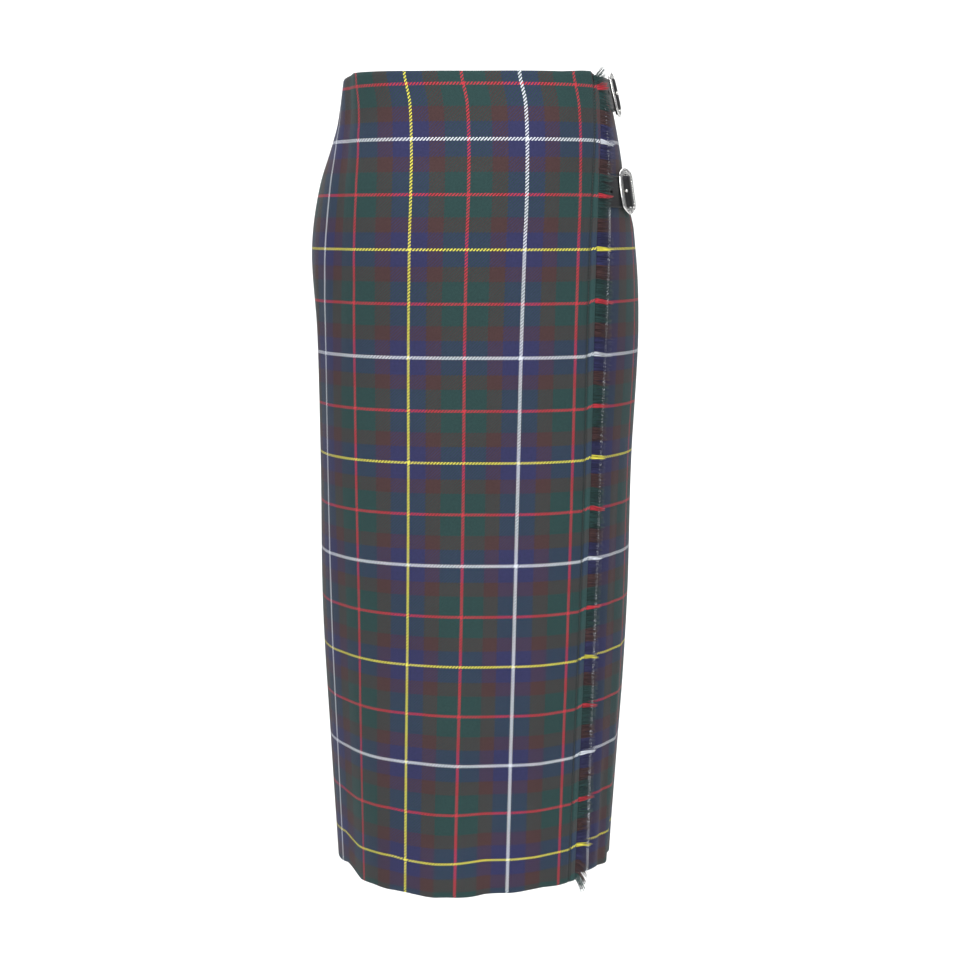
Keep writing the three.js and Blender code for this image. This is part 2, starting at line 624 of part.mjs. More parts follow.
// The tab: two thicknesses of leather sewn to the skirt, folded round the buckle's bar, with a slot in the
// fold for the prong
function tabGeometry(closure) {
  const bore = BAR_RADIUS + TAB_BORE_GAP;
  const bend = bore + TAB_THICKNESS;
  const profile = [];
  for (let i = 0; i <= ARC_STEPS; i += 1) {
    const angle = Math.PI / 2 + (Math.PI * i) / ARC_STEPS;
    profile.push(new THREE.Vector2(BAR_PLACE + bend * Math.cos(angle), BAR_RISE + bend * Math.sin(angle)));
  }
  const tail = [...stepsBetween(TAB_SEWN, TAB_TAIL, TAB_STEPS), TAB_TAIL];
  for (const place of tail) profile.push(new THREE.Vector2(BAR_PLACE + place, TAB_SEAT));
  for (const place of tail.reverse()) {
    profile.push(new THREE.Vector2(BAR_PLACE + place, TAB_SEAT + 2 * TAB_THICKNESS));
  }
  const hole = [];
  for (let i = 0; i < 2 * ARC_STEPS; i += 1) {
    const angle = (-Math.PI * i) / ARC_STEPS;
    hole.push(new THREE.Vector2(BAR_PLACE + bore * Math.cos(angle), BAR_RISE + bore * Math.sin(angle)));
  }
  const ring = [...profile, ...hole];
  const points = [];
  for (let row = 0; row <= TAB_ROWS; row += 1) {
    const height = TAB_HEIGHT / 2 - (TAB_HEIGHT * row) / TAB_ROWS;
    for (const p of ring) points.push(closurePoint(closure, p.x, height, CLOTH_THICKNESS + p.y));
  }
  const triangles = [];
  const size = ring.length;
  const join = (first, count) => {
    for (let row = 0; row < TAB_ROWS; row += 1) {
      for (let i = 0; i < count; i += 1) {
        const a = row * size + first + i;
        const b = row * size + first + ((i + 1) % count);
        triangles.push(a, b, b + size, a, b + size, a + size);
      }
    }
  };
  join(0, profile.length);
  join(profile.length, hole.length);
  for (const [a, b, c] of THREE.ShapeUtils.triangulateShape(profile, [hole])) {
    triangles.push(a, c, b);
    triangles.push(TAB_ROWS * size + a, TAB_ROWS * size + b, TAB_ROWS * size + c);
  }
  const slotReach = 2 * bend + TAB_SLOT_EXTRA;
  const slot = new THREE.BoxGeometry(slotReach, TAB_SLOT, slotReach);
  slot.translate(BAR_PLACE - TAB_SLOT_BACK, 0, CLOTH_THICKNESS + BAR_RISE);
  slot.applyMatrix4(bucklePlane(closure));
  return fromManifold(toManifold(meshGeometry(points, triangles)).subtract(toManifold(slot)));
}

function piece(name, geometry, kind) {
  const mesh = new THREE.Mesh(geometry, finish(kind));
  mesh.name = name;
  geometry.computeVertexNormals();
  return mesh;
}

const skirt = new THREE.Group();
skirt.add(piece('over_apron', clothPanel(overColumns, overRise), 'cloth'));
skirt.add(piece('under_apron', clothPanel(underColumns, underRise), 'underCloth'));
skirt.add(piece('back_panel', clothPanel(backColumns, backRise), 'backCloth'));
skirt.add(piece('fringe', fringeGeometry(), 'fringe'));
for (const closure of CLOSURES) {
  skirt.add(piece(`strap_${closure.name}`, strapGeometry(closure), 'leather'));
  skirt.add(piece(`tab_${closure.name}`, tabGeometry(closure), 'leather'));
  skirt.add(piece(`buckle_${closure.name}`, frameGeometry(closure), 'silver'));
  skirt.add(piece(`prong_${closure.name}`, prongGeometry(closure), 'silver'));
}

export default skirt;
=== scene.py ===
"""A long tartan wrap skirt in its hollow, worn form, built round its frame: woven cloth panels, the fringed
free edge, and two leather straps with silver buckles. Sizes are in millimetres until a mesh is made in
metres."""
import functools
import math

import bpy
import numpy as np
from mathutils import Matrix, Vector


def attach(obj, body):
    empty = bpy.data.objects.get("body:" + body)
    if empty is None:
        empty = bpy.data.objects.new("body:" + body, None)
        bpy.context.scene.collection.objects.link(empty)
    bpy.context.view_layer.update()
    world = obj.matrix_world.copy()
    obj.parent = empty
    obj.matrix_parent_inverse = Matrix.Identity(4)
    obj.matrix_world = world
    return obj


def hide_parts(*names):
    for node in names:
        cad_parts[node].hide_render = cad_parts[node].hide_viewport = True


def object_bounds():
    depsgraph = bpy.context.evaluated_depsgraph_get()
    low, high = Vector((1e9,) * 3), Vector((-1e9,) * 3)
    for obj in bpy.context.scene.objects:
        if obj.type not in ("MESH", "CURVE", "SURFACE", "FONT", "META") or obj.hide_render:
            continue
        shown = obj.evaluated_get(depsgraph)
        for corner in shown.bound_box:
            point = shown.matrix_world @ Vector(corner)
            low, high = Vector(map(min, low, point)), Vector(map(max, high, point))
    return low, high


bl_info = {
    "name": "Tartan Wrap Skirt",
    "version": (1, 0, 0),
    "blender": (4, 5, 0),
    "location": "3D View > Sidebar > Skirt",
    "description": "Builds the cloth, fringe, straps and buckles of a long tartan wrap skirt",
    "category": "Add Mesh",
}

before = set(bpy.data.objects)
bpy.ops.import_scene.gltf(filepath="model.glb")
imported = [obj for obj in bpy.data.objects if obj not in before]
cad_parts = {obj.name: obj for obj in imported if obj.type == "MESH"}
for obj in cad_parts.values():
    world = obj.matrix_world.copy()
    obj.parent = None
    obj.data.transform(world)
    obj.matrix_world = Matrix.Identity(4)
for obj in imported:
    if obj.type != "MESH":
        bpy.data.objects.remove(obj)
FRAME_LOW, FRAME_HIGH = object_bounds()
BODY = "root"
METRE = 0.001


def table(names, *rows):
    """A short table: its named columns as arrays, from one row for each section, fold or crease."""
    return dict(zip(names.split(), np.array(rows, float).T))


# Cloth sizes
SKIRT_LENGTH = 852.0
WALL_THICKNESS = 1.6
CLOTH_THICKNESS = 1.1
SEAM_GAP = 0.3
LAYER_GAP = 0.5
ROW_STEP = 4.0
COLUMN_STEP = 4.0
EDGE_STEP = 1.5
EDGE_FINE = 30.0
RIM_ROUND = 0.4

# The inner face of the wall: half sizes from the section's centre, the powers of its front corners, and where
# the reference stripe lies, from which lengths of cloth are counted
SECTIONS = table(
    "z side front back mid_x mid_y left right stripe_x",
    (0, 133.5, 105, 95, 0, 0, 2.5, 2.4, -65.5),
    (-50, 143, 120, 102, 2, 4, 2.5, 2.4, -62),
    (-110, 158, 136, 112, -2, 9, 2.5, 2.35, -62),
    (-170, 168.5, 143, 120, -1, 15, 2.5, 2.3, -64),
    (-260, 170, 142, 122, 4, 22, 2.6, 2.3, -66),
    (-400, 167, 137, 116, 2, 28, 2.6, 2.25, -67.5),
    (-560, 166, 136, 112, 0, 31, 2.2, 2.05, -69.5),
    (-720, 159, 134, 110, -0.5, 31, 2.0, 1.9, -72.5),
    (-852, 152, 134, 110, -1, 30, 1.9, 1.8, -74.5),
)
BACK_POWER = 2.15
BACK_BLEND = (70, 110)
SAMPLES = 720
BEARING_STEP = 0.5

HEM_FOLDS = table(
    "bearing spread depth top",
    (84, 5, -4, -640),
    (118, 13, 5, -420),
    (152, 14, -5, -470),
    (-168, 13, 6, -400),
    (-133, 14, -5, -500),
    (-66, 12, -2.5, -560),
)
SEAM_BEARING = 99.0
UNDER_END_BEARING = -78.0

EDGE = table(
    "z along lift hollow",
    (0, 196, 3.4, 0),
    (-60, 192, 3.4, 0),
    (-130, 188, 3.4, 0),
    (-420, 188, 3.4, 0),
    (-620, 188, 4.5, 5),
    (-852, 188, 6, 12),
)
LIFT_REACH = 120.0
LIFT_FULL = 38.0
HOLLOW_UNDER = 170.0
HOLLOW_OUT = 44.0

# How the waist's edge leaves the level: rounded off at the left hip and at the free edge's corner
WAIST_EDGE = table(
    "bearing lift",
    (-180, 0), (-115, -3), (-88, -4.6), (-80, -2.8), (-74, -0.4), (-69, 1.0), (-65, 1.9), (-55, 1.6),
    (-30, 0.3), (0, 0), (42, 0.6), (52, 2.4), (57, 2.6), (59.5, 0), (61, -5), (62.7, -12), (67, -6),
    (85, -4), (120, -2), (180, 0),
)
WAIST_DEPTH = 40.0

# How the hem hangs off the level, and the stretch above it that is drawn along
HEM_EDGE = table(
    "bearing lift",
    (-180, 0), (-85, 0), (-71, 3), (-64, -3), (-59, -5), (-49, -2.2), (-38, -1), (-29, -3.5), (-18, -3),
    (-8, 0), (4, 5), (15, 4.2), (30, 5.6), (47, 4.5), (56, 3), (75, 0), (180, 0),
)
HEM_DEPTH = 170.0

# The free edge's frayed yarns and its line of stitches
FRINGE_REACH = table(
    "depth share",
    (0, 0.76), (140, 0.78), (165, 0.95), (265, 1), (330, 0.8), (600, 0.82), (700, 0.9), (852, 0.94),
)
FRINGE_STEPS = 7
FRINGE_RADIUS = 0.33
FRINGE_SEED = 11
FRINGE_DEPTH = 0.7
FRINGE_ENDS = (2.0, 1.0)
ROOT_INSET = 0.6
YARN_SHARES = (0.6, 1.04)
YARN_THICKNESS = (0.85, 1.25)
YARN_CURL = 0.6
# Locks: how often a new one starts, how close a bright line's yarns and the others draw together, and what a
# bright line's have more of
LOCK_CHANCE = 0.14
LOCK_GATHER = (0.75, 0.6)
LINE_REACH = 2.4
LINE_LONGER = 1.06
LINE_THICKER = 1.2
# How far the tips fall and stand off the cloth: the least, and what chance adds
DROOP = (1.0, 2.6)
DROOP_WAVE = 1.4
DROOP_WAVE_LENGTH = 31.0
TIP_LIFT = (0.2, 2.4)
# At the hem the yarns splay downwards, at the waist they stand up, and both ends are worn short
HEM_DROOP = 15.0
HEM_DROOP_GROWS = (SKIRT_LENGTH - 45, SKIRT_LENGTH - 4)
HEM_TRIM = 0.35
HEM_TRIM_GROWS = (SKIRT_LENGTH - 25, SKIRT_LENGTH)
WAIST_STAND = 13.0
WAIST_STAND_ENDS = (3.0, 20.0)
WAIST_TRIM = 0.2
WAIST_TRIM_ENDS = (4.0, 18.0)
WAIST_LIFT = 2.5
WAIST_LIFT_ENDS = (60.0, 150.0)
CORNER_CUT = 8.0
CORNER_CUT_ENDS = (0.0, 26.0)
LOOSE_THREAD_DEPTH = 14.0
LOOSE_THREAD_LONGER = 1.1
EDGE_KICK = 2.6
WAIST_KICK = 0.25
KICK_GROWS = (120.0, 230.0)
STITCH_INSET = 7.5
STITCH_LENGTH = 2.5
STITCH_RADIUS = 0.38
STITCH_ARCH = 0.32
STITCH_ENDS = 14.0
STITCH_GROOVE = 1.1
STITCH_PUCKER = 0.12
GROOVE_SPREAD = 1.5
# The painted groove shadow along the stitch line: how dark and how wide; then how much paler the strip beyond
# it is, and where that strip starts
LINE_PAINTED_SHADOW = 0.6
LINE_SPREAD = 1.3
STRIP_PALER = 0.32
STRIP_STARTS = (0.5, 3.0)

# Straps and buckles: places are counted from the buckle's middle along the strap towards the back, heights up
# the skirt, and rises from the cloth's outer face
CLOSURES = (("upper", -17.0, 44.0), ("lower", -116.0, 38.0))
PLANE_STEP = 8.0
STRAP_HEIGHT = 32.0
STRAP_THICKNESS = 2.2
STRAP_ROOT = 28.0
STRAP_DOME = 0.25
STRAP_STEP = 1.4
STRAP_SECTION = 44
STRAP_SQUARENESS = 18
TAIL_END = 46.0
TAIL_POINT = 13.0
TAIL_NARROWING = 0.8
TAIL_THINNING = 0.25
STRAP_PATH = table("place rise", (-18, 0.5), (-10.8, 0.5), (0.5, 6.9), (6, 7.1), (11.5, 3.7), (21, 3.6))
HOLE_PITCH = 27.0
HOLE_STEPS = (-2, -1, 0, 1)
HOLE_HALF = (2.2, 2.2)
PRONG_HOLE_HALF = (4.8, 1.9)
PRONG_HOLE_REACH = 10.0
HOLE_DEPTH = 8.0
HOLE_SIDES = 28
FRAME_WIDTH = 32.0
FRAME_THICKNESS = 2.6
FRAME_TILT = math.radians(7.5)
FRAME_RISE = 5.6
OPENING_MIDDLE = 0.75
OPENING_HALF = (10.75, 16.6)
BAR_PLACE = 4.5
BAR_RISE = 3.8
BAR_RADIUS = 1.2
BAR_SEAT = 3.0
BAR_STEPS = 9
PRONG_RADIUS = 1.0
PRONG_BALL = 1.6
PRONG_RING = (2.0, 0.5, 1.6)
PRONG_TIP = (-11.0, 1.9)
PRONG_SECTION = 20
PRONG_SQUARENESS = 4
PRONG_RING_STEPS = 40
PRONG_SHANK_STEPS = 8
PRONG_BALL_STEPS = 15

# The buckle's outer outline: each corner, and the point that pulls its curve to the next one
FRAME_OUTLINE = table(
    "x y via_x via_y",
    (-16, -15, -12, -21),
    (0, -24, 12, -21),
    (16, -15, 16, 0),
    (16, 15, 14, 23),
    (0, 24, -14, 23),
    (-16, 15, -19, 0),
)
FRAME_STEPS = 420
FRAME_SECTION = 40
FRAME_SQUARENESS = 3
FRAME_CROWN = 0.35

# The casting's scrolls: where each curls, and which way
SCROLLS = table(
    "x y hand",
    (-8.2, 18.4, 1),
    (8.2, 18.4, -1),
    (-7.6, -18.0, -1),
    (7.6, -18.0, 1),
    (-2.6, 20.4, -1),
    (2.6, 20.4, 1),
    (-2.4, -20.4, 1),
    (2.4, -20.4, -1),
)
# Where the ornament changes over, counted outwards from the opening's edge
ENDS_START = 1.5
FRONT_RAIL = (-4.0, -1.0)
REAR_RAIL = (-2.0, 1.0)
SCROLL_PITCH = 2.3
SCROLL_REACH = 3.6
SCROLL_HEIGHT = 0.5
BEAD_PITCH = 2.5
BEAD_HEIGHT = 0.35
# The front rail's groove: its middle and width are shares of half the rail's width
GROOVE_DEPTH = 0.75
GROOVE_PLACE = -0.1
GROOVE_WIDTH = 0.2
# Shares of the casting's height that its polish follows: the plain face, and the bar
RELIEF_LEVEL = 0.62
BAR_LEVEL = 0.5


def column_at(rows, name, z):
    """A smooth column of a table at heights z. Between two rows a and b that lie L apart, with t the share of
    the way, it is (2t^3 - 3t^2 + 1) a + (t^3 - 2t^2 + t) L sa + (3t^2 - 2t^3) b + (t^3 - t^2) L sb, where
    the slopes sa and sb are the mean of the spans on both sides of their row."""
    heights, values = rows["z"], rows[name]
    spans = np.diff(values) / np.diff(heights)
    slopes = np.concatenate([spans[:1], (spans[:-1] + spans[1:]) / 2, spans[-1:]])
    row = np.clip(np.searchsorted(-heights, -np.asarray(z, float)) - 1, 0, len(heights) - 2)
    length = heights[row + 1] - heights[row]
    t = np.clip((z - heights[row]) / length, 0, 1)
    start = (2 * t**3 - 3 * t**2 + 1) * values[row] + (t**3 - 2 * t**2 + t) * length * slopes[row]
    return start + (3 * t**2 - 2 * t**3) * values[row + 1] + (t**3 - t**2) * length * slopes[row + 1]


def smooth_step(value, low, high):
    """3t^2 - 2t^3, with t the share of the way from low to high."""
    t = np.clip((value - low) / (high - low), 0, 1)
    return t * t * (3 - 2 * t)


def fold_at(z, bearing):
    """The hem's folds: the sum of depth * smooth_step(-z) * exp(-(across / spread)^2)."""
    total = 0
    for place, spread, depth, top in zip(*HEM_FOLDS.values()):
        across = np.mod(bearing - place + 180, 360) - 180
        total = total + depth * smooth_step(-z, -top, SKIRT_LENGTH) * np.exp(-((across / spread) ** 2))
    return total


def section_point(z, bearing):
    """The wall's inner face at heights z and bearings, round the section's centre: a radius of
    ((|sin| / side)^p + (|cos| / depth)^p)^(-1 / p), plus the hem's folds."""
    row = {name: column_at(SECTIONS, name, z) for name in SECTIONS if name != "z"}
    across, forward = np.sin(np.radians(bearing)), np.cos(np.radians(bearing))
    depth = np.where(forward > 0, row["front"], row["back"])
    front_power = np.where(across > 0, row["right"], row["left"])
    power = front_power + (BACK_POWER - front_power) * smooth_step(np.abs(bearing), *BACK_BLEND)
    reach = (np.abs(across) / row["side"]) ** power + (np.abs(forward) / depth) ** power
    radius = reach ** (-1 / power) + fold_at(z, bearing)
    return row["mid_x"] + radius * across, row["mid_y"] - radius * forward


def girth_table(z):
    """For heights z: the bearings round the skirt, the length of cloth at each, counted from the reference
    stripe towards the right side, the whole girth, and how far beyond the stripe the next bearing lies.
    Lengths are sums of the chords between the bearings."""
    bearings = np.linspace(-180, 180, SAMPLES + 1)
    x, y = section_point(z[:, None], bearings[None, :])
    chords = np.hypot(np.diff(x, axis=1), np.diff(y, axis=1))
    lengths = np.concatenate([np.zeros((len(z), 1)), np.cumsum(chords, axis=1)], axis=1)
    stripe = column_at(SECTIONS, "stripe_x", z)[:, None]
    crossed = (np.abs(bearings[1:]) < 90) & (x[:, :-1] <= stripe) & (x[:, 1:] > stripe)
    before = np.argmax(crossed, axis=1)[:, None]
    x_before, x_after = (np.take_along_axis(x, before + step, axis=1) for step in (0, 1))
    beyond = np.take_along_axis(chords, before, axis=1) * (x_after - stripe) / (x_after - x_before)
    start = np.take_along_axis(lengths, before + 1, axis=1) - beyond
    return bearings, lengths - start, lengths[:, -1:], beyond


def lookup(values, from_rows, to_rows):
    """Each row's values found in that row of one table and read from the other, in one call: every row is
    moved along a common line by its own offset."""
    offset = np.arange(len(values))[:, None] * (np.ptp(from_rows) + 1e4)
    to = np.broadcast_to(to_rows, from_rows.shape)
    found = np.interp((values + offset).ravel(), (from_rows + offset).ravel(), to.ravel())
    return found.reshape(values.shape)


def length_at_bearing(z, bearing):
    """The length of cloth at one bearing for each height in z."""
    bearings, lengths, _, _ = girth_table(z)
    return lookup(np.full((len(z), 1), float(bearing)), np.broadcast_to(bearings, lengths.shape), lengths)


def unit(vectors):
    """The vectors at length 1."""
    return vectors / np.linalg.norm(vectors, axis=-1, keepdims=True)


def skirt_point(z, along, rise):
    """Points at heights z (one for each row) and lengths of cloth along, moved out level by rise, square to
    the section: (rows, columns, 3)."""
    bearings, lengths, girth, _ = girth_table(z)
    wrapped = lengths[:, :1] + np.mod(along - lengths[:, :1], girth)
    bearing = lookup(wrapped, lengths, bearings)
    heights = np.broadcast_to(z[:, None], bearing.shape)
    x, y = section_point(heights, bearing)
    ahead, behind = (section_point(heights, bearing + step) for step in (BEARING_STEP, -BEARING_STEP))
    run = unit(np.stack([ahead[0] - behind[0], ahead[1] - behind[1]], axis=-1))
    return np.stack([x + run[..., 1] * rise, y - run[..., 0] * rise, heights], axis=-1)


def free_edge(z):
    """The length of cloth at which the over apron ends."""
    return column_at(EDGE, "along", z)


def over_rise(z, along):
    """How far the over apron's wall lies outside the inner face: a layer of cloth, and a lift near its
    edge."""
    edge = free_edge(z)
    return WALL_THICKNESS + LAYER_GAP + column_at(EDGE, "lift", z) * smooth_step(
        along, edge - LIFT_REACH, edge - LIFT_FULL
    )


def under_rise(z, along):
    """The under apron falls in behind the free edge near the hem."""
    edge = free_edge(z)
    inwards = smooth_step(along, edge - HOLLOW_UNDER, edge)
    outwards = 1 - smooth_step(along, edge, edge + HOLLOW_OUT)
    return -column_at(EDGE, "hollow", z) * inwards * outwards


def back_rise(z, along):
    """The back panel runs from the under apron's level at the right seam to the over apron's at the left
    one."""
    start, _, end = seams(z[:, 0])
    return (WALL_THICKNESS + LAYER_GAP) * smooth_step(along, start, end)


def seams(z):
    """Lengths of cloth at the right seam, the left seam, and the left seam counted on round the back."""
    right, left = length_at_bearing(z, SEAM_BEARING), length_at_bearing(z, -SEAM_BEARING)
    return right, left, left + girth_table(z)[2]


# Creases of worn wool: soft ridges and troughs that a hand would find, uneven in length, depth and spacing.
# A crease runs down from top to low at a length of cloth that drifts by slant, is as wide as spread, and
# stands out by depth (in, if negative).
CREASES = table(
    "along slant top low spread depth",
    (-84, 4, 300, -430, 12, -3.4),
    (-128, -4, -120, -420, 9, 1.4),
    (-90, 10, -330, -852, 16, -1.3),
    (-30, -8, -500, -852, 20, 1.2),
    (18, -10, -560, -852, 14, -1.3),
    (58, -4, -620, -852, 17, 1.3),
    (96, 6, -420, -852, 15, -1.1),
    (136, 4, -560, -852, 12, 1.2),
    (152, 3, -40, -330, 11, -0.9),
    (70, -14, -20, -200, 22, -0.9),
    (-10, 12, -30, -240, 24, 0.8),
    (236, 4, -300, -700, 7, -1.1),
    (239, 2, -690, -852, 5, -1.2),
    (262, -6, -480, -852, 9, 1.6),
    (300, 8, -160, -560, 18, -2.0),
    (352, -12, -60, -380, 15, 1.8),
    (395, 10, -420, -852, 20, -2.6),
    (448, -8, -120, -520, 16, 2.0),
    (505, 12, -520, -852, 17, -2.4),
    (560, -6, -80, -460, 21, -1.9),
    (612, 9, -350, -852, 15, 2.3),
    (668, 5, -150, -640, 18, -1.8),
)

# Level waves, as where cloth is held at the hip
DRAGS = table(
    "z along spread reach depth",
    (-62, -70, 9, 60, 0.7),
    (-88, 20, 12, 90, -0.6),
    (-140, 96, 10, 70, 0.6),
    (-205, -40, 14, 80, -0.5),
    (-96, 250, 8, 40, -0.9),
    (-150, 300, 12, 60, 0.9),
    (-118, 420, 11, 90, -1.0),
    (-170, 560, 13, 80, 0.9),
    (-70, 640, 9, 60, -0.8),
)
HEM_WAVE = 0.9
HEM_WAVE_DEPTH = 30.0
HEM_WAVE_LENGTHS = (17.0, 7.3)


def crease_at(z, along):
    """The sum of the creases, each depth * exp(-(across / spread)^2) times a window that opens and closes
    over its length, and of the level waves, depth * exp(-(dz / spread)^2 - (da / reach)^2)."""
    total = np.zeros(np.broadcast(z, along).shape)
    for place, slant, top, low, spread, depth in zip(*CREASES.values()):
        share = np.clip((top - z) / (top - low), 0, 1)
        window = smooth_step(share, 0, 0.45)
        if low > -SKIRT_LENGTH:
            window = window * smooth_step(share, 1, 0.55)
        total += depth * window * np.exp(-(((along - place - slant * share) / spread) ** 2))
    for height, place, spread, reach, depth in zip(*DRAGS.values()):
        total += depth * np.exp(-(((z - height) / spread) ** 2) - ((along - place) / reach) ** 2)
    return total


def grid_faces(number):
    """The quads between neighbours in a grid of vertex numbers."""
    corners = [number[:-1, :-1], number[:-1, 1:], number[1:, 1:], number[1:, :-1]]
    return np.stack(corners, axis=-1).reshape(-1, 4)


def closed_wall(outer, inner, uv):
    """A sheet with two faces and a rounded rim: the grids' quads, and round their edge a middle line that
    stands out from the sheet by RIM_ROUND. Returns points, quads and each point's row of uv."""
    rows, columns = outer.shape[:2]
    count = rows * columns
    number = np.arange(count).reshape(rows, columns)
    face = grid_faces(number)[:, [0, 3, 2, 1]]
    loop = np.concatenate([number[0, :-1], number[:-1, -1], number[-1, :0:-1], number[:0:-1, 0]])
    flat_outer, flat_inner, flat_uv = outer.reshape(-1, 3), inner.reshape(-1, 3), uv.reshape(count, -1)
    inset = np.clip(loop // columns, 1, rows - 2) * columns + np.clip(loop % columns, 1, columns - 2)
    outwards = unit(flat_outer[loop] - flat_outer[inset])
    middle = (flat_outer[loop] + flat_inner[loop]) / 2 + outwards * RIM_ROUND
    rim = 2 * count + np.arange(len(loop))
    ahead, rim_ahead = np.roll(loop, -1), np.roll(rim, -1)
    outer_rim = np.stack([loop, ahead, rim_ahead, rim], axis=-1)
    inner_rim = np.stack([rim, rim_ahead, ahead + count, loop + count], axis=-1)
    quads = np.concatenate([face, face[:, ::-1] + count, outer_rim, inner_rim])
    points = np.concatenate([flat_outer, flat_inner, middle])
    return points, quads, np.concatenate([flat_uv, flat_uv, flat_uv[loop]])


def new_object(name, data):
    """A new object in the scene."""
    made = bpy.data.objects.new(name, data)
    bpy.context.scene.collection.objects.link(made)
    return made


def new_mesh(name, points, faces, smooth=True):
    """A mesh from points in millimetres and arrays of faces."""
    mesh = bpy.data.meshes.new(name)
    mesh.from_pydata((points * METRE).tolist(), [], [face for array in faces for face in array.tolist()])
    mesh.polygons.foreach_set("use_smooth", np.full(len(mesh.polygons), smooth))
    return mesh


def mesh_piece(name, points, faces, material, uv_maps=()):
    """A new piece that rides on the skirt, with UV maps by name, each with a place for every point."""
    mesh = new_mesh(name, points, faces)
    corner = np.empty(len(mesh.loops), np.int32)
    mesh.loops.foreach_get("vertex_index", corner)
    for layer, uv in dict(uv_maps).items():
        mesh.uv_layers.new(name=layer).data.foreach_set("uv", uv[corner].astype(np.float32).ravel())
    mesh.update()
    mesh.materials.append(material)
    piece = new_object(name, mesh)
    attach(piece, BODY)
    return piece


def linear(hex_colour):
    """A hex sRGB colour as linear RGBA."""
    values = np.array([int(hex_colour[i : i + 2], 16) for i in (0, 2, 4)]) / 255
    values = np.where(values <= 0.04045, values / 12.92, ((values + 0.055) / 1.055) ** 2.4)
    return (*values.tolist(), 1.0)


def add_node(tree, kind, inputs=(), stops=(), **settings):
    """Adds a node and sets its settings, or those of its colour ramp where it has stops, each a place and a
    colour. Inputs are in order or by name: a socket or a node's first output is linked, a value is set."""
    made = tree.nodes.new("ShaderNode" + kind)
    holder = made.color_ramp if stops else made
    for name, value in settings.items():
        setattr(holder, name, value)
    for number, (place, colour) in enumerate(stops):
        element = holder.elements[number] if number < 2 else holder.elements.new(place)
        element.position = place
        element.color = colour
    for name, value in inputs.items() if isinstance(inputs, dict) else enumerate(inputs):
        if isinstance(value, bpy.types.Node):
            value = value.outputs[0]
        if isinstance(value, bpy.types.NodeSocket):
            tree.links.new(value, made.inputs[name])
        else:
            made.inputs[name].default_value = value
    return made


def new_material(name):
    """An empty node material, and add_node for its tree."""
    material = bpy.data.materials.new(name)
    material.use_nodes = True
    material.node_tree.nodes.clear()
    return material, functools.partial(add_node, material.node_tree)


def per_metre(millimetres):
    """The scale of a pattern whose specks lie this far apart."""
    return 1 / (millimetres * METRE)


# The tartan: from one fine line's centre to the next is a quarter of the repeat, which is white, red, yellow,
# red. The yarns' shares are of a quarter, counted from a white or yellow line to a red one.
WARP_QUARTER = 56.0
WEFT_QUARTER = 53.5
FIRST_WHITE_WEFT = 1.226
LINE_SHARE = 0.025
BLUE_SHARE = 0.318
BROWN_SHARE = 0.59
RED_SHARE = 0.976
WHITE_FROM_STRIPE = 112.0
# The under apron's white warp, which the wrap sets just behind the fringe's tips
UNDER_WHITE = table(
    "z along",
    (0, 214), (-128, 211.5), (-240, 207), (-376, 204.5), (-480, 206.5), (-652, 211.5), (-852, 220),
)

# Lengths round the over apron, and the cloth that lies there: a soft fold takes some in at the left hip, and
# the cloth leans a little under the waist
CLOTH_TAKEN = table(
    "along cloth",
    (-400, -413), (-155, -168), (-108, -112), (-60.5, -56), (0, 0), (112, 112), (274, 280),
)
WAIST_LEAN = 3.5
WAIST_LEAN_DEPTH = 32.0
# The warps drift a little sideways round three lines of the over apron: the front's white, the middle red and
# the left hip's white. Each drift grows, and the hip's ends, between two depths.
DRIFT_PLACES = (112.0, -58.0, -112.0)
DRIFT_REACH = 34.0
FRONT_DRIFT = 2.5
FRONT_DRIFT_GROWS = (130.0, 560.0)
HIP_DRIFT = -7.0
HIP_DRIFT_GROWS = (20.0, 100.0)
HIP_DRIFT_ENDS = (110.0, 270.0)

# Grain of the materials: from one speck to the next, and how deep it stands. The leather's pores and the
# silver's hairlines are drawn coarser than real ones, because those are too fine to show.
SLUB = 2.38
DYE_CLOUD = 111.0
THREAD_TWIST = 0.4
LEATHER_GRAIN = 0.714
LEATHER_SCUFF = 6.25
SILVER_HAIRLINE = 1.11
PAPER_FIBRE = 16.7
YARN_RELIEF = 0.2
GRAIN_RELIEF = 0.2


def yarn_colours(add, length, quarter, settings):
    """The dyed yarns across one direction of the cloth, by the length from a white line. The ramp holds half
    a repeat, which is read forwards and then backwards."""
    quarters = add("Math", (length, 1 / quarter), operation="MULTIPLY")
    there_and_back = add("Math", (quarters, 2.0), operation="PINGPONG")
    share = add("Math", (there_and_back, 0.5), operation="MULTIPLY")
    yarns = (
        (0.0, settings.white),
        (LINE_SHARE, settings.blue),
        (BLUE_SHARE, settings.brown),
        (BROWN_SHARE, settings.green),
        (RED_SHARE, settings.red),
        (2 - RED_SHARE, settings.green),
        (2 - BROWN_SHARE, settings.brown),
        (2 - BLUE_SHARE, settings.blue),
        (2 - LINE_SHARE, settings.yellow),
    )
    stops = [(place / 2, colour) for place, colour in yarns]
    return add("ValToRGB", (share,), stops, interpolation="CONSTANT")


def cloth_places(add):
    """The cloth's UV map, and its own lengths in millimetres: across its warps, and down it from the first
    white weft line."""
    uv = add("UVMap", uv_map="cloth")
    metres = add("SeparateXYZ", (uv,))
    across, down = (add("Math", (metres.outputs[i], 1 / METRE), operation="MULTIPLY") for i in (0, 1))
    return uv, across, down


def yarn_round(add, count):
    """How a yarn stands up across its width: 1 - (2 fract(count) - 1)^2."""
    share = add("Math", (count,), operation="FRACT")
    way = add("Math", (share, 2.0, -1.0), operation="MULTIPLY_ADD")
    square = add("Math", (way, way), operation="MULTIPLY")
    return add("Math", (1.0, square), operation="SUBTRACT")


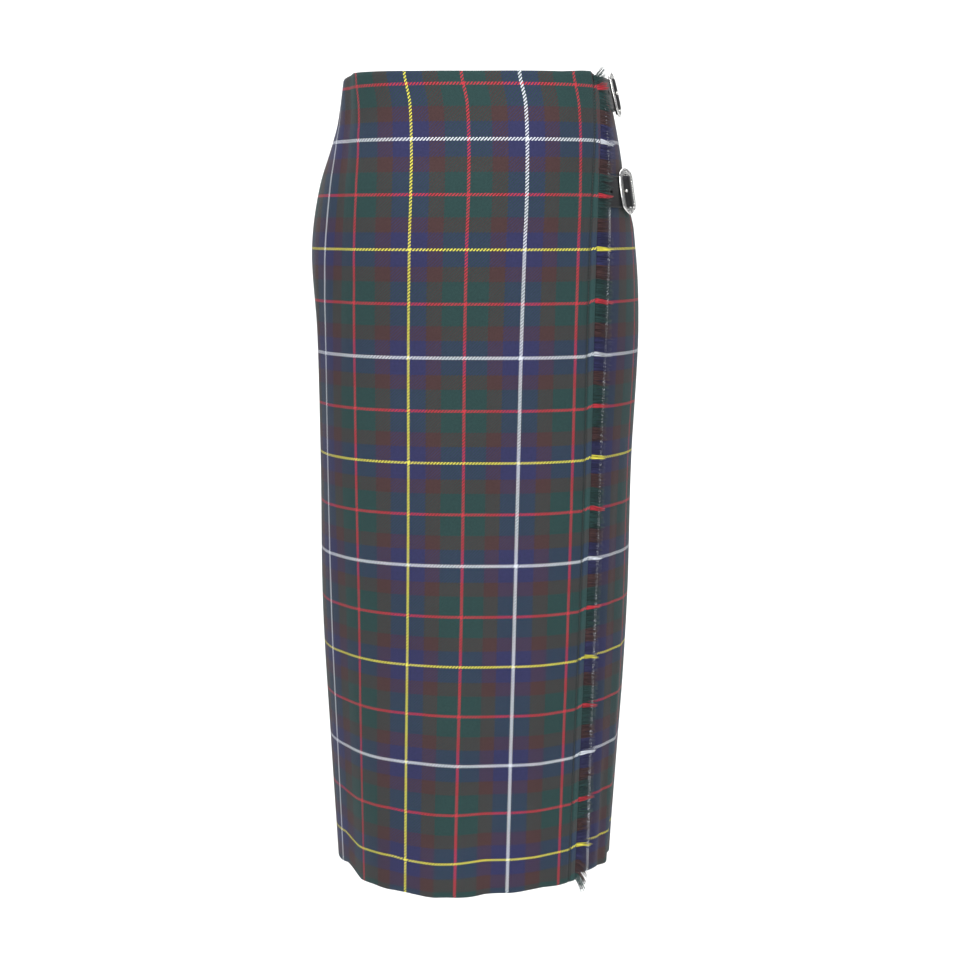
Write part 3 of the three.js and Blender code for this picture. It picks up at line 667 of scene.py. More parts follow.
def wool_tartan(settings):
    """Worsted wool in a two-and-two twill. Each crossing shows its warp or its weft, so unlike colours mix in
    fine diagonals and like ones are pure; the shade between the yarns is painted into the colour. Wool's
    scaly, hairy fibres scatter light: rough, with a soft grey sheen where the cloth turns away."""
    material, add = new_material("worsted wool tartan, 2/2 twill")
    uv, across, down = cloth_places(add)
    warp = yarn_colours(add, across, WARP_QUARTER, settings)
    weft = yarn_colours(add, down, WEFT_QUARTER, settings)
    yarn = settings.yarn_width / METRE
    warp_count, weft_count = (add("Math", (way, 1 / yarn), operation="MULTIPLY") for way in (across, down))
    warp_number, weft_number = (add("Math", (way,), operation="FLOOR") for way in (warp_count, weft_count))
    diagonal = add("Math", (warp_number, weft_number), operation="ADD")
    of_four = add("Math", (diagonal, 4.0), operation="FLOORED_MODULO")
    weft_up = add("Math", (of_four, 1.5), operation="GREATER_THAN")
    warp_up = add("Math", (1.0, weft_up), operation="SUBTRACT")
    woven = add("Mix", {0: weft_up, 6: warp, 7: weft}, data_type="RGBA")
    weft_height = add("Math", (weft_up, yarn_round(add, weft_count)), operation="MULTIPLY")
    height = add("Math", (warp_up, yarn_round(add, warp_count), weft_height), operation="MULTIPLY_ADD")
    slub = add("TexNoise", {"Vector": uv, "Scale": per_metre(SLUB), "Detail": 2.0, "Roughness": 0.6})
    cloud = add("TexNoise", {"Vector": uv, "Scale": per_metre(DYE_CLOUD), "Detail": 2.0})
    # The panel's painted shade: a painted groove shadow along the over apron's stitch line and a paler strip
    # beyond it.
    painted_edge_shade = add("SeparateXYZ", (add("UVMap", uv_map="painted_edge_shade"),))
    shade = add("Math", (slub, 0.5, 0.75), operation="MULTIPLY_ADD")
    dyed = add("Math", (cloud, 0.16, 0.92), operation="MULTIPLY_ADD")
    # Painted shade: the colour darkens where each yarn's round falls away between the yarns.
    painted_yarn_shade = add("Math", (height, 0.75, 0.5), operation="MULTIPLY_ADD")
    for share in (dyed, painted_edge_shade, painted_yarn_shade):
        shade = add("Math", (shade, share), operation="MULTIPLY")
    base = add("VectorMath", {0: woven.outputs[2], 3: shade}, operation="SCALE")
    bump = add("Bump", {"Height": height, "Strength": 0.6, "Distance": YARN_RELIEF * METRE})
    look = {"Base Color": base, "Normal": bump, "Roughness": 0.82, "Specular IOR Level": 0.2}
    sheen = {"Sheen Weight": 0.07, "Sheen Roughness": 0.42, "Sheen Tint": linear("E7EAEF")}
    add("OutputMaterial", (add("BsdfPrincipled", look | sheen),))
    return material


def wool_yarn_ends(settings):
    """The weft's own yarns, frayed: softer and duller than the cloth, with painted shade where they lie deep
    at their roots, and with paler, fluffy tips."""
    material, add = new_material("frayed worsted yarn")
    _, _, down = cloth_places(add)
    colour = yarn_colours(add, down, WEFT_QUARTER, settings)
    strand = add("SeparateXYZ", (add("UVMap", uv_map="strand"),))
    way = strand.outputs[1]
    # Painted shade: the yarns darken towards their roots, where they lie deep.
    root = add("MapRange", (way, 0.0, 0.11, 0.3, 1.0))
    own_shade = add("Math", (strand, 1.1, 0.42), operation="MULTIPLY_ADD")
    shade = add("Math", (root, own_shade), operation="MULTIPLY")
    uneven = add("VectorMath", {0: colour, 3: shade}, operation="SCALE")
    fluff = add("Math", (way, 4.0), operation="POWER")
    tip = add("Math", (fluff, 0.12), operation="MULTIPLY")
    base = add("Mix", {0: tip, 6: uneven, 7: linear("A8A8A6")}, data_type="RGBA")
    look = {"Base Color": base.outputs[2], "Roughness": 0.9, "Specular IOR Level": 0.15}
    sheen = {"Sheen Weight": 0.05, "Sheen Roughness": 0.5}
    add("OutputMaterial", (add("BsdfPrincipled", look | sheen),))
    return material


def plain_thread():
    """Dark spun polyester thread: twisted and faintly shiny."""
    material, add = new_material("spun polyester thread")
    place = add("TexCoord").outputs["Object"]
    twist = add("TexNoise", {"Vector": place, "Scale": per_metre(THREAD_TWIST)})
    shade = add("ValToRGB", (twist,), ((0.3, linear("0E1614")), (0.7, linear("24302C"))))
    shader = add("BsdfPrincipled", {"Base Color": shade, "Roughness": 0.55, "Sheen Weight": 0.1})
    add("OutputMaterial", (shader,))
    return material


def strap_leather(settings):
    """Smooth black strap leather with a waxed finish: tight grain under a soft shine, a little scuffed and
    greyer in places."""
    material, add = new_material("waxed black strap leather")
    place = add("TexCoord").outputs["Object"]
    cells = {"Vector": place, "Scale": per_metre(LEATHER_GRAIN)}
    grain = add("TexVoronoi", cells, feature="DISTANCE_TO_EDGE")
    pores = add("Math", (grain, 0.25), operation="MINIMUM")
    scuff = add("TexNoise", {"Vector": place, "Scale": per_metre(LEATHER_SCUFF), "Detail": 6.0})
    base = add("ValToRGB", (scuff,), ((0.5, settings.leather), (0.85, linear("26262A"))))
    dull = add("MapRange", (scuff, 0.0, 1.0, 0.38, 0.6))
    bump = add("Bump", {"Height": pores, "Strength": 0.35, "Distance": GRAIN_RELIEF * METRE})
    look = {"Base Color": base, "Roughness": dull, "Normal": bump, "Specular IOR Level": 0.45}
    add("OutputMaterial", (add("BsdfPrincipled", look),))
    return material


def cast_silver(settings):
    """Polished silver plate over cast metal: bright high spots, and grey oxide left in the ornament's
    hollows."""
    material, add = new_material("polished cast silver plate")
    place = add("TexCoord").outputs["Object"]
    hairlines = add("TexNoise", {"Vector": place, "Scale": per_metre(SILVER_HAIRLINE), "Detail": 4.0})
    relief = add("SeparateXYZ", (add("UVMap", uv_map="relief"),)).outputs[1]
    base = add("ValToRGB", (relief,), ((0.15, linear("55534F")), (0.6, settings.silver)))
    rough = add("MapRange", (hairlines, 0.0, 1.0, 0.12, 0.3))
    shader = add("BsdfPrincipled", {"Base Color": base, "Metallic": 1.0, "Roughness": rough})
    add("OutputMaterial", (shader,))
    return material


def studio_paper():
    """Matt white background paper: its fibres make it very slightly cloudy."""
    material, add = new_material("matt white studio paper")
    place = add("TexCoord").outputs["Object"]
    fibre = add("TexNoise", {"Vector": place, "Scale": per_metre(PAPER_FIBRE), "Detail": 3.0})
    paper = add("ValToRGB", (fibre,), ((0.3, linear("F4F4F3")), (0.7, linear("F8F8F7"))))
    add("OutputMaterial", (add("BsdfPrincipled", {"Base Color": paper, "Roughness": 0.95}),))
    return material


def shared_columns(z, start, end, fine_end=0.0):
    """Lengths of cloth from start to end for each height: even steps, and finer ones over the last
    fine_end."""
    widest = float(np.max(end - start))
    coarse = np.linspace(0, 1, int(round((widest - fine_end) / COLUMN_STEP)) + 1)
    columns = start + (end - fine_end - start) * coarse[None, :]
    if fine_end:
        fine = np.arange(1, int(round(fine_end / EDGE_STEP)) + 1) * EDGE_STEP
        columns = np.concatenate([columns, end - fine_end + fine[None, :]], axis=1)
    return columns


def heights():
    """The rows of every panel, from the waist's edge down to the hem."""
    return np.linspace(0, -SKIRT_LENGTH, int(round(SKIRT_LENGTH / ROW_STEP)) + 1)


def hem_wave(along):
    """The hem's small unevenness: two sines of the length of cloth."""
    long, short = (along / length for length in HEM_WAVE_LENGTHS)
    return HEM_WAVE * (np.sin(long) + 0.6 * np.sin(short + 1.0))


def edge_lift(z, points):
    """How far the waist's edge and the hem lift points at heights z: each table's lift at their bearing,
    fading in over its depth."""
    mid_x, mid_y = column_at(SECTIONS, "mid_x", z), column_at(SECTIONS, "mid_y", z)
    bearing = np.degrees(np.arctan2(points[..., 0] - mid_x, mid_y - points[..., 1]))
    waist, hem = (np.interp(bearing, *edge.values()) for edge in (WAIST_EDGE, HEM_EDGE))
    near_hem = smooth_step(-z, SKIRT_LENGTH - HEM_DEPTH, SKIRT_LENGTH)
    return waist * (1 - smooth_step(-z, 0, WAIST_DEPTH)), hem * near_hem


def cloth_wall(name, z, along, rise, white_at, material, kick=0.0, painted_edge_shade=1.0):
    """A panel of cloth: skirt_point at its rise, with its creases, as a closed sheet CLOTH_THICKNESS thick
    whose outer face is the solid's. Its first UV map is the length of cloth from a white warp line and the
    depth below the first white weft line; kick is added to that depth. Its second holds a painted shade that
    scales the cloth's colour: on the over apron, a painted groove shadow along the stitch line and a paler
    strip beyond it."""
    column = z[:, None]
    standing = rise(column, along) + crease_at(column, along) + WALL_THICKNESS
    outer, inner = (skirt_point(z, along, standing - depth) for depth in (0, CLOTH_THICKNESS))
    waist, hem = edge_lift(column, outer)
    hem = hem + smooth_step(-column, SKIRT_LENGTH - HEM_WAVE_DEPTH, SKIRT_LENGTH) * hem_wave(along)
    outer[..., 2] += waist + hem
    inner[..., 2] += waist + hem
    down = -column - waist - FIRST_WHITE_WEFT * WEFT_QUARTER + kick
    shade = np.broadcast_to(painted_edge_shade, along.shape)
    points, quads, uvs = closed_wall(outer, inner, np.stack([white_at, down, shade, shade], axis=-1))
    maps = {"cloth": uvs[:, :2] * METRE, "painted_edge_shade": uvs[:, 2:]}
    return mesh_piece(name, points, [quads], material, maps)


def over_warp(z, along):
    """Cloth counted from a white warp of the over apron. It leans below the waist, and drifts round three of
    its lines by exp(-(distance / reach)^2)."""
    leaning = along + WAIST_LEAN * (1 - smooth_step(-z, 0, WAIST_LEAN_DEPTH))
    front, middle, left = (np.exp(-(((along - place) / DRIFT_REACH) ** 2)) for place in DRIFT_PLACES)
    leaning = leaning + FRONT_DRIFT * smooth_step(-z, *FRONT_DRIFT_GROWS) * (front - middle)
    hip = smooth_step(-z, *HIP_DRIFT_GROWS) * (1 - smooth_step(-z, *HIP_DRIFT_ENDS))
    leaning = leaning + HIP_DRIFT * hip * left
    return np.interp(leaning, CLOTH_TAKEN["along"], CLOTH_TAKEN["cloth"]) - WHITE_FROM_STRIPE


def edge_kick(z, along):
    """The weft is drawn up beyond the stitch line near the free edge, and a little down above the hip."""
    strength = EDGE_KICK * ((1 + WAIST_KICK) * smooth_step(-z, *KICK_GROWS) - WAIST_KICK)
    return strength * smooth_step(along, free_edge(z) - STITCH_INSET - 2, free_edge(z) - 1)


def groove_shadow_and_pale_strip(beyond):
    """The cloth's colour scale near the free edge by its place beyond the stitch line: a painted groove
    shadow in the line, where it sinks, and paler on the strip outside it."""
    # The painted groove shadow along the stitch line.
    line = np.exp(-((beyond / LINE_SPREAD) ** 2))
    return (1 + STRIP_PALER * smooth_step(beyond, *STRIP_STARTS)) * (1 - LINE_PAINTED_SHADOW * line)


def make_panels(settings):
    """The three panels of the wrap. Each replaces its own solid."""
    material = wool_tartan(settings)
    z = heights()
    column = z[:, None]
    right, left, left_again = seams(z)
    edge = free_edge(column)
    along = shared_columns(z, left, edge, EDGE_FINE)
    stitched = edge - STITCH_INSET

    def over_with_seam(height, place):
        pucker = STITCH_PUCKER * np.sin(np.pi * height * METRE / settings.stitch_pitch)
        groove = (STITCH_GROOVE + pucker) * np.exp(-(((place - stitched) / GROOVE_SPREAD) ** 2))
        return over_rise(height, place) - groove

    over = cloth_wall(
        "over_apron_cloth", z, along, over_with_seam, over_warp(column, along), material,
        edge_kick(column, along), groove_shadow_and_pale_strip(along - stitched),
    )
    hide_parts("over_apron")
    start = length_at_bearing(z, UNDER_END_BEARING)
    along = shared_columns(z, start, right)
    white = column_at(UNDER_WHITE, "along", column)
    under = cloth_wall("under_apron_cloth", z, along, under_rise, along - white, material)
    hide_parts("under_apron")
    along = shared_columns(z, right + SEAM_GAP, left_again - SEAM_GAP)
    back = cloth_wall("back_panel_cloth", z, along, back_rise, along - white, material)
    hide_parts("back_panel")
    return over, under, back


def tubes(paths, radii, up, sides=3):
    """Round strands along paths (strands, steps, 3) with radii (strands, steps): rings square to each path,
    turned from the direction up, and a point at each end. Returns points, quads and triangles with faces
    outwards."""
    strands, steps = paths.shape[:2]
    run = unit(np.gradient(paths, axis=1))
    across = unit(np.cross(np.broadcast_to(up, run.shape), run))
    other = np.cross(run, across)
    turn = 2 * np.pi * np.arange(sides) / sides
    ring = np.cos(turn)[:, None] * across[:, :, None] + np.sin(turn)[:, None] * other[:, :, None]
    rings = paths[:, :, None] + ring * radii[:, :, None, None]
    beyond = np.stack([-radii[:, 0], radii[:, -1]], axis=1)[..., None]
    ends = paths[:, [0, -1]] + run[:, [0, -1]] * beyond
    count = steps * sides + 2
    points = np.concatenate([rings.reshape(strands, -1, 3), ends], axis=1).reshape(-1, 3)
    number = np.pad(np.arange(steps * sides).reshape(steps, sides), ((0, 0), (0, 1)), mode="wrap")
    first = np.stack([number[0, 1:], number[0, :-1], np.full(sides, count - 2)], axis=-1)
    last = np.stack([number[-1, :-1], number[-1, 1:], np.full(sides, count - 1)], axis=-1)
    start = (np.arange(strands) * count)[:, None, None]
    quads, tris = grid_faces(number), np.concatenate([first, last])
    return points, (quads + start).reshape(-1, 4), (tris + start).reshape(-1, 3)


def strand_values(values, sides):
    """A value for each step of each strand, spread to the points that tubes makes."""
    ring = np.repeat(values, sides, axis=1)
    return np.concatenate([ring, values[:, [0, -1]]], axis=1).ravel()


def make_fringe(settings):
    """The free edge, frayed: the weft's ends in loose locks, which droop, splay at the hem and stand up at
    the waist. A strand runs along the cloth by its length, falls by droop * t^1.6 and lifts by lift *
    t^1.5. The yarns of a bright line keep together in a thicker lock."""
    random = np.random.default_rng(FRINGE_SEED)
    n, steps = settings.fringe_strands, FRINGE_STEPS
    depth = FRINGE_ENDS[0] + (np.arange(n) + 0.5) * (SKIRT_LENGTH - sum(FRINGE_ENDS)) / n
    root = -depth
    edge = free_edge(root)
    kick = edge_kick(root, edge)
    t = np.linspace(0, 1, steps)[None, :]
    locks = np.cumsum(random.random(n) < LOCK_CHANCE)
    centre = (np.bincount(locks, weights=depth) / np.maximum(np.bincount(locks), 1))[locks]
    counted = np.round((depth + kick) / WEFT_QUARTER - FIRST_WHITE_WEFT) + FIRST_WHITE_WEFT
    line = counted * WEFT_QUARTER - kick
    in_line = np.abs(depth - line) < LINE_REACH
    target = np.where(in_line, line, centre)
    gather = np.where(in_line, *LOCK_GATHER)
    full = settings.fringe_length / METRE
    length = full * (YARN_SHARES[0] + np.ptp(YARN_SHARES) * random.random(n) ** 0.7)
    length *= np.where(in_line, LINE_LONGER, 1.0)
    droop = DROOP[0] + DROOP[1] * random.random(n) + DROOP_WAVE * np.sin(depth / DROOP_WAVE_LENGTH)
    droop += HEM_DROOP * smooth_step(depth, *HEM_DROOP_GROWS)
    droop -= WAIST_STAND * (1 - smooth_step(depth, *WAIST_STAND_ENDS))
    length *= 1 - HEM_TRIM * smooth_step(depth, *HEM_TRIM_GROWS)
    length *= 1 - WAIST_TRIM * (1 - smooth_step(depth, *WAIST_TRIM_ENDS))
    length *= np.interp(depth, *FRINGE_REACH.values())
    loose = np.argmin(np.abs(depth - LOOSE_THREAD_DEPTH))
    length[loose], droop[loose] = LOOSE_THREAD_LONGER * full, full
    lift = TIP_LIFT[0] + TIP_LIFT[1] * random.random(n)
    lift += WAIST_LIFT * (1 - smooth_step(depth, *WAIST_LIFT_ENDS))
    curl = random.normal(0, YARN_CURL, n)
    phase = random.random(n) * 2 * np.pi
    cut_corner = CORNER_CUT * (1 - smooth_step(depth, *CORNER_CUT_ENDS))
    along = (edge - ROOT_INSET - cut_corner)[:, None] + length[:, None] * (t - 0.06 * t**2)
    level = over_rise(root[:, None], edge[:, None]) + WALL_THICKNESS - CLOTH_THICKNESS / 2
    layer = (random.random(n) - 0.5)[:, None] * FRINGE_DEPTH
    rise = level + layer + lift[:, None] * t**1.5 + curl[:, None] * np.sin(3.2 * t + phase[:, None]) * t
    paths = skirt_point(root, along, rise)
    fall = droop[:, None] * t**1.6 + (gather * (target - depth))[:, None] * t**1.3
    fall += 0.5 * curl[:, None] * np.sin(5 * t + phase[:, None]) * t
    paths[..., 2] -= fall - edge_lift(root[:, None], paths[:, :1])[1]
    thick = YARN_THICKNESS[0] + np.ptp(YARN_THICKNESS) * random.random(n)
    thick *= np.where(in_line, LINE_THICKER, 1.0)
    radii = FRINGE_RADIUS * thick[:, None] * (1 - 0.6 * t**1.5)
    points, quads, tris = tubes(paths, radii, np.array([0.0, 0.0, 1.0]))
    down = np.where(in_line, line, depth) + kick - FIRST_WHITE_WEFT * WEFT_QUARTER
    per_step = [np.broadcast_to(values, (n, steps)) for values in (down[:, None], random.random((n, 1)), t)]
    down_at, shade_at, tip_at = (strand_values(values, 3) for values in per_step)
    maps = {
        "cloth": np.stack([np.zeros(len(points)), down_at], axis=-1) * METRE,
        "strand": np.stack([shade_at, tip_at], axis=-1),
    }
    piece = mesh_piece("fringe_strands", points, [quads, tris], wool_yarn_ends(settings), maps)
    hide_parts("fringe")
    return piece


def make_edge_stitches(settings):
    """The line of stitches that keeps the free edge from fraying further: each is an arch, 1 - (2s)^2
    high."""
    pitch = settings.stitch_pitch / METRE
    count = int((SKIRT_LENGTH - STITCH_ENDS - STITCH_LENGTH) / pitch)
    steps = np.linspace(-0.5, 0.5, 5)
    middle = -STITCH_ENDS - np.arange(count) * pitch
    z = (middle[:, None] + steps * STITCH_LENGTH).ravel()
    arch = np.tile(STITCH_ARCH * (1 - (2 * steps) ** 2), count)[:, None]
    along = (free_edge(z) - STITCH_INSET)[:, None]
    rise = over_rise(z[:, None], along) + WALL_THICKNESS - STITCH_GROOVE + crease_at(z[:, None], along) + arch
    paths = skirt_point(z, along, rise).reshape(count, len(steps), 3)
    radii = np.broadcast_to(STITCH_RADIUS * (1 - 0.5 * (2 * steps) ** 4), (count, len(steps)))
    points, quads, tris = tubes(paths, radii, np.array([0.0, 1.0, 0.0]), sides=6)
    return mesh_piece("edge_stitches", points, [quads, tris], plain_thread())


def wall_point(z, along):
    """One point of the wall's inner face, with its length counted as the solids count it: from the first
    bearing beyond the stripe."""
    z = np.array([float(z)])
    return skirt_point(z, along + girth_table(z)[3], 0.0)[0, 0]


def buckle_plane(z, reach):
    """The plane that touches the wall's inner face at a buckle's middle, as four rows: forward along the
    strap, up the skirt, outwards, and the place."""
    along = free_edge(z) + reach + FRAME_WIDTH / 2
    forward = unit(wall_point(z, along + PLANE_STEP) - wall_point(z, along - PLANE_STEP))
    upward = wall_point(z + PLANE_STEP, along) - wall_point(z - PLANE_STEP, along)
    outward = unit(np.cross(forward, upward))
    return np.stack([forward, np.cross(outward, forward), outward, wall_point(z, along)])


def in_plane(plane, x, y, z):
    """Points given along the strap, up the skirt and out of it."""
    places = np.stack(np.broadcast_arrays(x, y, z), axis=-1)
    return places @ plane[:3] + plane[3]


def in_frame(plane, x, y, z):
    """Points given in the buckle's own plane, which is tilted so that its rear rail clears the strap."""
    sine, cosine = math.sin(FRAME_TILT), math.cos(FRAME_TILT)
    return in_plane(plane, x * cosine - z * sine, y, WALL_THICKNESS + FRAME_RISE + x * sine + z * cosine)


def strap_points(plane, place, height, rise):
    """Points on a strap that follows the hip: place is the length of cloth from the buckle's middle, height
    is up the skirt, and rise is square to the sloping cloth. All three have the result's rows and
    columns."""
    middle = in_plane(plane, 0.0, height.ravel(), 0.0)
    z = middle[:, 2]
    across = middle[:, 0] - column_at(SECTIONS, "mid_x", z)
    forward = column_at(SECTIONS, "mid_y", z) - middle[:, 1]
    bearings, lengths, _, _ = girth_table(z)
    bearing = np.degrees(np.arctan2(across, forward))[:, None]
    along = lookup(bearing, np.broadcast_to(bearings, lengths.shape), lengths) + place.reshape(-1, 1)
    base = skirt_point(z, along, 0.0)
    outward = skirt_point(z, along, 1.0) - base
    slope = plane[2, 2]
    outward *= math.sqrt(1 - slope**2)
    outward[..., 2] = slope
    return (base + outward * rise.reshape(-1, 1, 1)).reshape(*place.shape, 3)


def rounded_section(count, power):
    """A closed section in shares from -1 to 1: across = cos(turn), and through = sqrt(1 - |across|^power)
    with the sign of sin(turn)."""
    turn = 2 * np.pi * (np.arange(count) + 0.5) / count
    across = np.cos(turn)
    return across, np.sign(np.sin(turn)) * np.sqrt(1 - np.abs(across) ** power)


def lofted(points, ring):
    """A grid of points closed round its columns, and round its rows too where it is a ring, or else capped at
    both ends. Faces are turned outwards by the sign of the volume that they hold."""
    rows, columns = points.shape[:2]
    number = np.arange(rows * columns).reshape(rows, columns)
    quads = grid_faces(np.pad(number, ((0, int(ring)), (0, 1)), mode="wrap"))
    flat = points.reshape(-1, 3)
    a, b, c, d = ((flat - flat.mean(axis=0))[quads[:, side]] for side in range(4))
    volume = np.sum(a * np.cross(b, c)) + np.sum(a * np.cross(c, d))
    faces = [quads] if ring else [quads, number[:1, ::-1], number[-1:]]
    return flat, faces if volume > 0 else [array[:, ::-1] for array in faces]


def joined(*shells):
    """Several shells, each points and faces, as the points and faces of one piece."""
    counts = np.cumsum([0] + [len(points) for points, _ in shells])
    faces = [array + start for (_, arrays), start in zip(shells, counts) for array in arrays]
    return np.concatenate([points for points, _ in shells]), faces


def strap_rise(place):
    """The strap's inner face above the cloth: a smooth_step from each row of its path to the next."""
    places, rises = STRAP_PATH["place"], STRAP_PATH["rise"]
    rise = np.full(np.shape(place), rises[0])
    for i in range(len(places) - 1):
        rise = rise + (rises[i + 1] - rises[i]) * smooth_step(place, places[i], places[i + 1])
    return rise


def punched(piece, shells):
    """Cuts the shells out of a piece."""
    punch = new_object("punch", new_mesh("punch", *joined(*shells), smooth=False))
    modifier = piece.modifiers.new("punched holes", "BOOLEAN")
    modifier.operation, modifier.solver, modifier.object = "DIFFERENCE", "EXACT", punch
    bpy.context.view_layer.update()
    cut = bpy.data.meshes.new_from_object(piece.evaluated_get(bpy.context.evaluated_depsgraph_get()))
    piece.modifiers.clear()
    piece.data = cut
    bpy.data.objects.remove(punch)


def make_strap(name, z, reach, material):
    """A leather strap from under the free edge, through its buckle and over the bar, to its tapered tail,
    half height (1 - narrowing * past^2), with rounded edges, a slightly domed face and punched holes."""
    plane = buckle_plane(z, reach)
    start = -STRAP_ROOT - reach - FRAME_WIDTH / 2
    tail_start = TAIL_END - TAIL_POINT
    body = np.linspace(start, tail_start, int((tail_start - start) / STRAP_STEP))
    tail = tail_start + TAIL_POINT * np.sin(np.linspace(0, np.pi / 2, 12)[1:])
    place = np.concatenate([body, tail])[:, None]
    past = np.maximum(place - tail_start, 0) / TAIL_POINT
    across, through = rounded_section(STRAP_SECTION, STRAP_SQUARENESS)
    height = STRAP_HEIGHT / 2 * (1 - TAIL_NARROWING * past**2) * across
    dome = STRAP_DOME * np.maximum(through, 0) * (1 - across**2)
    thick = STRAP_THICKNESS / 2 * (1 - TAIL_THINNING * past**4)
    rise = WALL_THICKNESS + strap_rise(place) + STRAP_THICKNESS / 2 + thick * through + dome
    place = np.broadcast_to(place, rise.shape)
    points, faces = lofted(strap_points(plane, place, height, rise), ring=False)
    piece = mesh_piece(f"strap_{name}_leather", points, faces, material)
    turn = np.linspace(0, 2 * np.pi, HOLE_SIDES, endpoint=False)
    punches = []
    for step in HOLE_STEPS:
        middle = BAR_PLACE - PRONG_HOLE_REACH + step * HOLE_PITCH
        half = HOLE_HALF if step else PRONG_HOLE_HALF
        if start + 2 * half[0] < middle < TAIL_END - 3 * half[0]:
            level = WALL_THICKNESS + strap_rise(middle) + np.array([-HOLE_DEPTH, HOLE_DEPTH])[:, None]
            own_plane = buckle_plane(z, reach + middle)
            hole = in_plane(own_plane, half[0] * np.cos(turn), half[1] * np.sin(turn), level)
            punches.append(lofted(hole, ring=False))
    punched(piece, punches)
    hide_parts(f"strap_{name}")


def frame_outline(count):
    """The buckle's outer outline: from each corner a to the next one b it is
    (1 - t)^2 a + 2 t (1 - t) via + t^2 b, then spaced evenly along."""
    corner = np.stack([FRAME_OUTLINE["x"], FRAME_OUTLINE["y"]], axis=-1)
    via = np.stack([FRAME_OUTLINE["via_x"], FRAME_OUTLINE["via_y"]], axis=-1)[:, None]
    t = np.linspace(0, 1, 40, endpoint=False)[None, :, None]
    following = np.roll(corner, -1, axis=0)[:, None]
    curve = (1 - t) ** 2 * corner[:, None] + 2 * t * (1 - t) * via + t**2 * following
    closed = np.concatenate([curve.reshape(-1, 2), corner[:1]])
    length = np.concatenate([[0], np.cumsum(np.linalg.norm(np.diff(closed, axis=0), axis=1))])
    even = np.arange(count) * length[-1] / count
    return np.interp(even, length, closed[:, 0]), np.interp(even, length, closed[:, 1])


def casting_relief(x, y, across):
    """The cast ornament: a groove down the front rail, beads on the rear one, and scrolls at both ends,
    each a spiral ridge cos(2 pi r / pitch - hand * angle) that fades with exp(-(r / reach)^2)."""
    half_x, half_y = OPENING_HALF
    ends = smooth_step(np.abs(y) - half_y, -ENDS_START, ENDS_START)
    front = (1 - ends) * smooth_step(-x - half_x, *FRONT_RAIL)
    rear = (1 - ends) * smooth_step(x - half_x, *REAR_RAIL)
    relief = -GROOVE_DEPTH * front * np.exp(-(((across - GROOVE_PLACE) / GROOVE_WIDTH) ** 2))
    relief = relief + BEAD_HEIGHT * rear * np.cos(2 * np.pi * y / BEAD_PITCH) * (1 - across**2)
    for middle_x, middle_y, hand in zip(*SCROLLS.values()):
        distance = np.hypot(x - middle_x, y - middle_y)
        angle = np.arctan2(y - middle_y, x - middle_x)
        ridge = np.cos(2 * np.pi * distance / SCROLL_PITCH - hand * angle)
        relief = relief + SCROLL_HEIGHT * ends * ridge * np.exp(-((distance / SCROLL_REACH) ** 2))
    return relief


def make_buckle(name, z, reach, material):
    """A cast frame: a rounded section carried from its opening, ((|cos| / a)^8 + (|sin| / b)^8)^(-1 / 8), to
    its outline, crowned, with the relief on its face. Its bar is seated in both ends. The relief UV map holds
    the share of the height."""
    plane = buckle_plane(z, reach)
    outer_x, outer_y = frame_outline(FRAME_STEPS)
    turn = np.arctan2(outer_y, outer_x - OPENING_MIDDLE)
    half_x, half_y = OPENING_HALF
    radius = ((np.abs(np.cos(turn)) / half_x) ** 8 + (np.abs(np.sin(turn)) / half_y) ** 8) ** (-1 / 8)
    inner_x, inner_y = OPENING_MIDDLE + radius * np.cos(turn), radius * np.sin(turn)
    across, through = rounded_section(FRAME_SECTION, FRAME_SQUARENESS)
    share = (across + 1) / 2
    x = inner_x[:, None] + (outer_x - inner_x)[:, None] * share
    y = inner_y[:, None] + (outer_y - inner_y)[:, None] * share
    face = np.maximum(through, 0) ** 0.6
    relief = casting_relief(x, y, across) * face
    level = FRAME_THICKNESS / 2 * through + FRAME_CROWN * face * (1 - across**2) + relief
    frame_points, frame_faces = lofted(in_frame(plane, x, y, level), ring=True)
    bar_y = np.linspace(-1, 1, BAR_STEPS) * (half_y + BAR_SEAT)
    bar = in_plane(plane, BAR_PLACE, bar_y, WALL_THICKNESS + BAR_RISE)
    bar_points, *bar_faces = tubes(bar[None], np.full((1, BAR_STEPS), BAR_RADIUS), plane[2], sides=16)
    points, faces = joined((frame_points, frame_faces), (bar_points, bar_faces))
    height = np.concatenate([(RELIEF_LEVEL + relief).ravel(), np.full(len(bar_points), BAR_LEVEL)])
    uv = np.stack([height, height], axis=-1)
    piece = mesh_piece(f"buckle_{name}_casting", points, faces, material, {"relief": uv})
    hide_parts(f"buckle_{name}")


